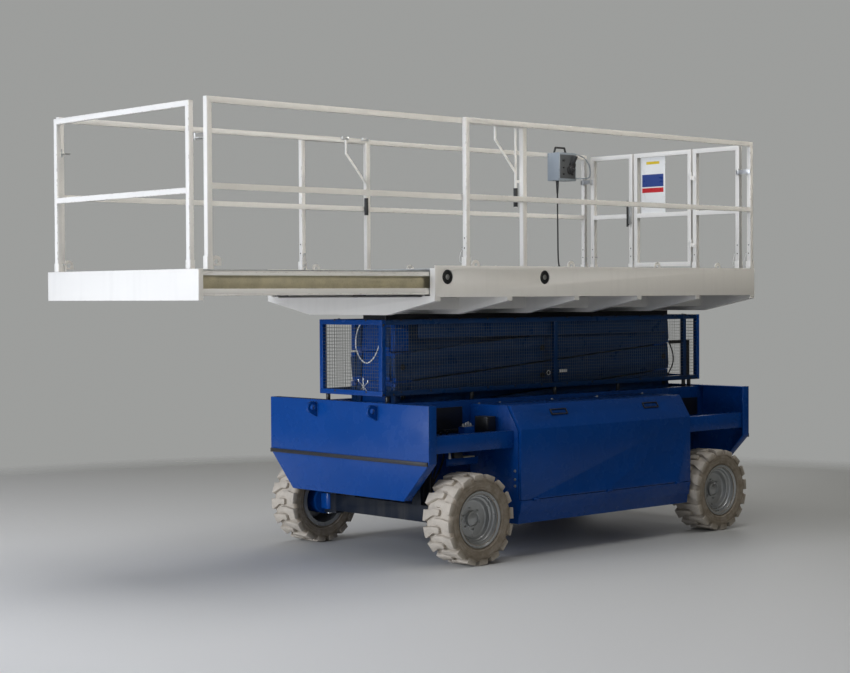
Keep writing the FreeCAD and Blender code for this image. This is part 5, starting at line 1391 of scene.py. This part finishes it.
@dataclass
class Extension:
    """The roll-out deck with its rails and push handles."""

    rail_y: float = 0.925
    front_x: float = 3.81
    end_y: float = 0.83

    def build(self, kit: Kit) -> None:
        """Dress the extension."""
        kit.soften("extension_frame", Finish.WHITE, 0.003)
        kit.soften("extension_floor", Finish.FLOOR, 0.002)
        kit.soften("extension_rails", Finish.WHITE, 0.004)
        kit.soften("end_rail", Finish.WHITE, 0.0045)
        kit.soften("extension_hooks", Finish.ZINC, 0.0012)
        kit.soften("handle_grips", Finish.PLASTIC, 0.003)
        self.slide_strips(kit)
        self.handle_rods(kit)
        self.sleeves(kit)
        self.clamps(kit)

    def slide_strips(self, kit: Kit) -> None:
        """Add the tan strips in the side channels."""
        bm = bmesh.new()
        for side in (1, -1):
            side_block(bm, side, (0.9, 0.88, 2.07), (3.868, 0.886, 2.17))
        kit.add("channel_strips", bm, Finish.TAN, "extension")
        bm = bmesh.new()
        for side in (1, -1):
            side_block(bm, side, (0.884, 0.93, 2.041), (3.871, 0.938, 2.078), 0.0015)
            side_block(bm, side, (0.884, 0.93, 2.166), (3.871, 0.938, 2.187), 0.0015)
        kit.add("channel_lips", bm, Finish.WHITE, "extension")

    def handle_rods(self, kit: Kit) -> None:
        """Add the straight rods of the push handles and the clamps that hold them to the top rails."""
        rods, clamps = bmesh.new(), bmesh.new()
        for side in (1, -1):
            bar(rods, spot(0.882, side * 0.885, 2.7), spot(0.882, side * 0.885, 3.312), 0.009, 18, 0.001)
            for x in (0.882, 1.102):
                for shift in (0.03, -0.03):
                    place = spot(x + shift, side * 0.894, 3.33)
                    bar(clamps, place, place + Vector((0, 0, 0.026)), 0.008, 14, 0.0015)
                bar(clamps, spot(x - 0.035, side * 0.894, 3.336), spot(x + 0.035, side * 0.894, 3.336), 0.006, 12, 0.001)
        kit.add("handle_rods", rods, Finish.WHITE, "extension")
        kit.add("handle_clamps", clamps, Finish.ZINC, "extension")

    def sleeves(self, kit: Kit) -> None:
        """Add the sleeves at the front posts and the holed tabs beside them."""
        sleeve, pins, tabs = bmesh.new(), bmesh.new(), bmesh.new()
        for side in (1, -1):
            middle = spot(self.front_x, side * self.rail_y, 2.206)
            for wall in (1, -1):
                block(sleeve, middle + Vector((wall * 0.024 - 0.003, -0.024, 0)), middle + Vector((wall * 0.024 + 0.003, 0.024, 0.09)), 0.0015)
            bar(pins, middle + Vector((0, -side * 0.02, 0.06)), middle + Vector((0, -side * 0.05, 0.06)), 0.006, 12, 0.001)
            holed_tab(tabs, spot(3.75, side * 0.93, 2.231), Vector((0.041, 0, 0)), Vector((0, 0, 0.026)), Vector((0, -side * 0.008, 0)), 0.42)
            foot = spot(3.89, side * self.end_y, 2.21)
            for wall in (1, -1):
                block(sleeve, foot + Vector((-0.0195, wall * 0.024 - 0.003, 0)), foot + Vector((0.0195, wall * 0.024 + 0.003, 0.06)), 0.0015)
        kit.add("extension_sleeves", sleeve, Finish.WHITE, "extension")
        kit.add("extension_pins", pins, Finish.ZINC, "extension")
        kit.add("extension_anchor_tabs", tabs, Finish.WHITE, "extension")

    def clamps(self, kit: Kit) -> None:
        """Add the clamps between the end rail and the side rails."""
        bm = bmesh.new()
        for side in (1, -1):
            place = spot(3.815, side * 0.9, 3.078)
            bar(bm, place - Vector((0, 0, 0.025)), place + Vector((0, 0, 0.035)), 0.0065, 12, 0.001)
            far = spot(3.866, side * 0.86, 3.078)
            bar(bm, far - Vector((0, 0, 0.02)), far + Vector((0, 0, 0.03)), 0.0065, 12, 0.001)
            bar(bm, place + Vector((0, 0, 0.024)), far + Vector((0, 0, 0.024)), 0.004, 10)
        kit.add("end_rail_clamps", bm, Finish.ZINC, "extension")


@dataclass
class ControlStation:
    """The hung control box, its lever and its cable."""

    box_x: tuple[float, float] = (-1.634, -1.404)
    box_y: tuple[float, float] = (-0.95, -0.8)
    box_z: tuple[float, float] = (3.085, 3.345)
    cable_radius: float = 0.007

    def build(self, kit: Kit) -> None:
        """Dress the control station."""
        self.cable(kit)
        kit.soften("control_box", Finish.GREY, 0.006)
        kit.soften("control_fittings", Finish.PLASTIC, 0.002)
        self.panel(kit)

    def cable(self, kit: Kit) -> None:
        """Hang the cable from its gland to the socket on the deck."""
        x, y, z = self.box_x[1] - 0.055, sum(self.box_y) / 2, self.box_z[0] - 0.12
        floor = 2.224 + self.cable_radius + 0.001
        route = [
            (x, y, z), (x - 0.001, y, z - 0.09), (x - 0.003, y - 0.001, z - 0.19), (x - 0.006, y - 0.003, z - 0.29),
            (x - 0.01, y - 0.006, z - 0.39), (x - 0.015, y - 0.01, z - 0.488), (x - 0.022, y - 0.015, z - 0.58),
            (x - 0.034, y - 0.02, z - 0.658), (x - 0.062, y - 0.024, floor + 0.024), (x - 0.126, y - 0.029, floor),
            (x - 0.205, y - 0.036, floor + 0.001), (x - 0.27, y - 0.037, floor),
        ]
        points = [spot(*point) for point in route]
        piece = kit.hose("control_cable_run", points, self.cable_radius, Finish.HOSE, "platform")
        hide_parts("control_cable")

    def panel(self, kit: Kit) -> None:
        """Add the panel with its buttons on the box's inner face."""
        face_y = self.box_y[1]
        bm = bmesh.new()
        block(bm, spot(self.box_x[0] + 0.012, face_y - 0.001, self.box_z[0] + 0.02), spot(self.box_x[1] - 0.012, face_y + 0.002, self.box_z[1] - 0.02), 0.001)
        kit.add("control_panel", bm, Finish.PANEL, "platform")
        knobs = bmesh.new()
        for dx, dz, radius in ((0.055, 0.075, 0.012), (0.055, 0.14, 0.009), (0.055, 0.2, 0.009), (0.17, 0.2, 0.01)):
            place = spot(self.box_x[1] - dx, face_y + 0.002, self.box_z[1] - dz)
            bar(knobs, place, place + Vector((0, 0.014, 0)), radius, 18, 0.0015)
        centre = spot(self.box_x[0] + 0.085, face_y + 0.001, self.box_z[0] + 0.1)
        for radius, start, end in ((0.042, 0.0, 0.018), (0.03, 0.017, 0.038), (0.013, 0.037, 0.062)):
            bar(knobs, centre + Vector((0, start, 0)), centre + Vector((0, end, 0)), radius, 32, 0.003)
        kit.add("panel_knobs", knobs, Finish.PLASTIC, "platform")
        x, y, z = self.box_x[0] + 0.004, -0.9, self.box_z[1]
        hoop = [(x, z - 0.006), (x - 0.11, z + 0.003), (x - 0.22, z - 0.02), (x - 0.295, z - 0.08), (x - 0.315, z - 0.15),
                (x - 0.305, z - 0.205), (x - 0.26, z - 0.223), (x - 0.1, z - 0.226), (x, z - 0.228)]
        kit.hose("control_hoop", [spot(px, y, pz) for px, pz in hoop], 0.006, Finish.GREY, "platform")


# Studio


@dataclass
class Studio:
    """Floor, soft lamps and camera."""

    camera_place: tuple[float, float, float] = (9.8015, 10.589, 2.032)
    heading: float = 227.51
    pitch: float = -1.35
    roll: float = -0.32
    lens: float = 75.61
    floor_radius: float = 8.6

    def build(self) -> None:
        """Set up everything that isn't the machine."""
        self.floor()
        self.world()
        self.lamps()
        self.camera()
        bpy.context.scene.view_settings.view_transform = "Standard"

    def floor(self) -> None:
        """A round pale floor, with painted light that makes it lighter towards +X, that fades out at its edge."""
        bm = bmesh.new()
        bmesh.ops.create_circle(bm, cap_ends=True, segments=128, radius=self.floor_radius)
        mesh = bpy.data.meshes.new("studio_floor")
        bm.to_mesh(mesh)
        bm.free()
        disc = bpy.data.objects.new("studio_floor", mesh)
        bpy.context.scene.collection.objects.link(disc)
        g = Graph("studio_floor")
        parts = g.tree.nodes.new("ShaderNodeSeparateXYZ")
        g.put(parts, 0, g.coords.outputs["Object"])
        # Painted light: the floor's colour runs from darker at -X to lighter at +X, standing in for light from the
        # front.
        tone = g.blend(g.span(parts.outputs["X"], -4.0, 4.5), (0.39, 0.39, 0.37), (0.77, 0.77, 0.77))
        g.set(Base_Color=tone, Roughness=0.6)
        length = g.tree.nodes.new("ShaderNodeVectorMath")
        length.operation = "LENGTH"
        g.put(length, 0, g.coords.outputs["Object"])
        g.set(Alpha=g.span(length.outputs["Value"], self.floor_radius - 1.2, self.floor_radius, (1.0, 0.0)))
        mesh.materials.append(g.material)

    def world(self) -> None:
        """A plain grey backdrop for camera rays, and soft light for every other ray."""
        world = bpy.data.worlds.new("studio")
        bpy.context.scene.world = world
        world.use_nodes = True
        tree = world.node_tree
        tree.nodes.clear()
        output = tree.nodes.new("ShaderNodeOutputWorld")
        mix = tree.nodes.new("ShaderNodeMixShader")
        shown, ambient = tree.nodes.new("ShaderNodeBackground"), tree.nodes.new("ShaderNodeBackground")
        shown.inputs[0].default_value = (0.335, 0.34, 0.332, 1.0)
        path = tree.nodes.new("ShaderNodeLightPath")
        tree.links.new(path.outputs["Is Camera Ray"], mix.inputs[0])
        self.room(tree, ambient)
        tree.links.new(ambient.outputs[0], mix.inputs[1])
        tree.links.new(shown.outputs[0], mix.inputs[2])
        tree.links.new(mix.outputs[0], output.inputs[0])

    def room(self, tree: bpy.types.NodeTree, ambient: bpy.types.Node) -> None:
        """Light the machine as a dim hall with bright windows ahead of it.

        Args:
            tree: The world's nodes.
            ambient: The background that lights the machine.
        """
        coords, parts = tree.nodes.new("ShaderNodeTexCoord"), tree.nodes.new("ShaderNodeSeparateXYZ")
        tree.links.new(coords.outputs["Generated"], parts.inputs[0])
        ahead, high, warm = (tree.nodes.new("ShaderNodeMapRange") for _ in range(3))
        ranges = ((ahead, "X", (0.1, 0.9, 0.06, 0.5)), (high, "Z", (0.0, 0.8, 0.5, 1.6)), (warm, "X", (-0.1, 0.7, 0.0, 1.0)))
        for node, output, numbers in ranges:
            tree.links.new(parts.outputs[output], node.inputs["Value"])
            for key, number in zip(("From Min", "From Max", "To Min", "To Max"), numbers):
                node.inputs[key].default_value = number
        strength, tint = tree.nodes.new("ShaderNodeMath"), tree.nodes.new("ShaderNodeMix")
        strength.operation = "MULTIPLY"
        tree.links.new(ahead.outputs[0], strength.inputs[0])
        tree.links.new(high.outputs[0], strength.inputs[1])
        tint.data_type = "RGBA"
        tint.inputs[6].default_value, tint.inputs[7].default_value = (1.06, 1.0, 0.86, 1.0), (0.93, 0.98, 1.08, 1.0)
        tree.links.new(warm.outputs[0], tint.inputs[0])
        tree.links.new(tint.outputs[2], ambient.inputs[0])
        tree.links.new(strength.outputs[0], ambient.inputs[1])

    def lamps(self) -> None:
        """A cool key from the front, a warm fill on the left, a strip on the rails, and light from above and below."""
        cool, warm, plain = (0.93, 0.98, 1.08), (1.0, 0.95, 0.85), (1.0, 1.0, 1.0)
        lamps = (
            ("key", (13.0, -1.0, 3.4), (0.0, 0.0, 1.6), (5.5, 5.5), 950.0, cool, 180.0),
            ("side_fill", (-1.0, 13.0, 7.5), (-0.8, 0.0, 1.4), (8.0, 8.0), 50.0, warm, 180.0),
            ("rail_fill", (-1.0, 13.0, 5.6), (-0.5, 0.0, 3.1), (9.0, 0.6), 24.0, warm, 20.0),
            ("top", (-0.5, 0.5, 11.0), (-0.5, 0.0, 0.0), (9.0, 9.0), 580.0, plain, 180.0),
            ("far_fill", (-11.0, -8.0, 6.0), (0.0, 0.0, 1.5), (7.0, 7.0), 160.0, plain, 180.0),
            ("bounce", (3.2, 0.4, 0.03), (3.0, 0.4, 3.0), (5.0, 3.0), 28.0, plain, 180.0),
        )
        for name, place, target, size, power, colour, spread in lamps:
            data = bpy.data.lights.new(name, "AREA")
            data.shape = "RECTANGLE"
            data.size, data.size_y = size
            data.energy, data.color, data.spread = power, colour, math.radians(spread)
            lamp = bpy.data.objects.new(name, data)
            lamp.location = place
            lamp.rotation_euler = (Vector(target) - Vector(place)).to_track_quat("-Z", "Y").to_euler()
            lamp.visible_camera = False
            bpy.context.scene.collection.objects.link(lamp)

    def camera(self) -> None:
        """The camera at the photograph's place and angle."""
        yaw, pitch, roll = (math.radians(a) for a in (self.heading, self.pitch, self.roll))
        ahead = Vector((math.cos(yaw) * math.cos(pitch), math.sin(yaw) * math.cos(pitch), math.sin(pitch)))
        right = Vector((math.sin(yaw), -math.cos(yaw), 0.0))
        up = right.cross(ahead)
        tilted_right = right * math.cos(roll) + up * math.sin(roll)
        tilted_up = up * math.cos(roll) - right * math.sin(roll)
        frame = Matrix((tilted_right, tilted_up, -ahead)).transposed().to_4x4()
        data = bpy.data.cameras.new("camera")
        data.lens = self.lens
        data.sensor_width = 36.0
        data.clip_end = 200.0
        camera = bpy.data.objects.new("camera", data)
        camera.matrix_world = Matrix.Translation(self.camera_place) @ frame
        bpy.context.scene.collection.objects.link(camera)
        bpy.context.scene.camera = camera


def main() -> None:
    """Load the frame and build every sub-assembly."""
    logging.basicConfig(level=logging.INFO, format="%(name)s: %(message)s")
    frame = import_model()
    kit = Kit(frame)
    Studio().build()
    for part in (ControlStation(), Wheels(), Chassis(), Guard(), Arms(), Platform(), Extension()):
        part.build(kit)
        LOG.info("%s done, %d pieces so far", type(part).__name__, len(kit.made))


if __name__ == "__main__":
    random.seed(7)
    main()
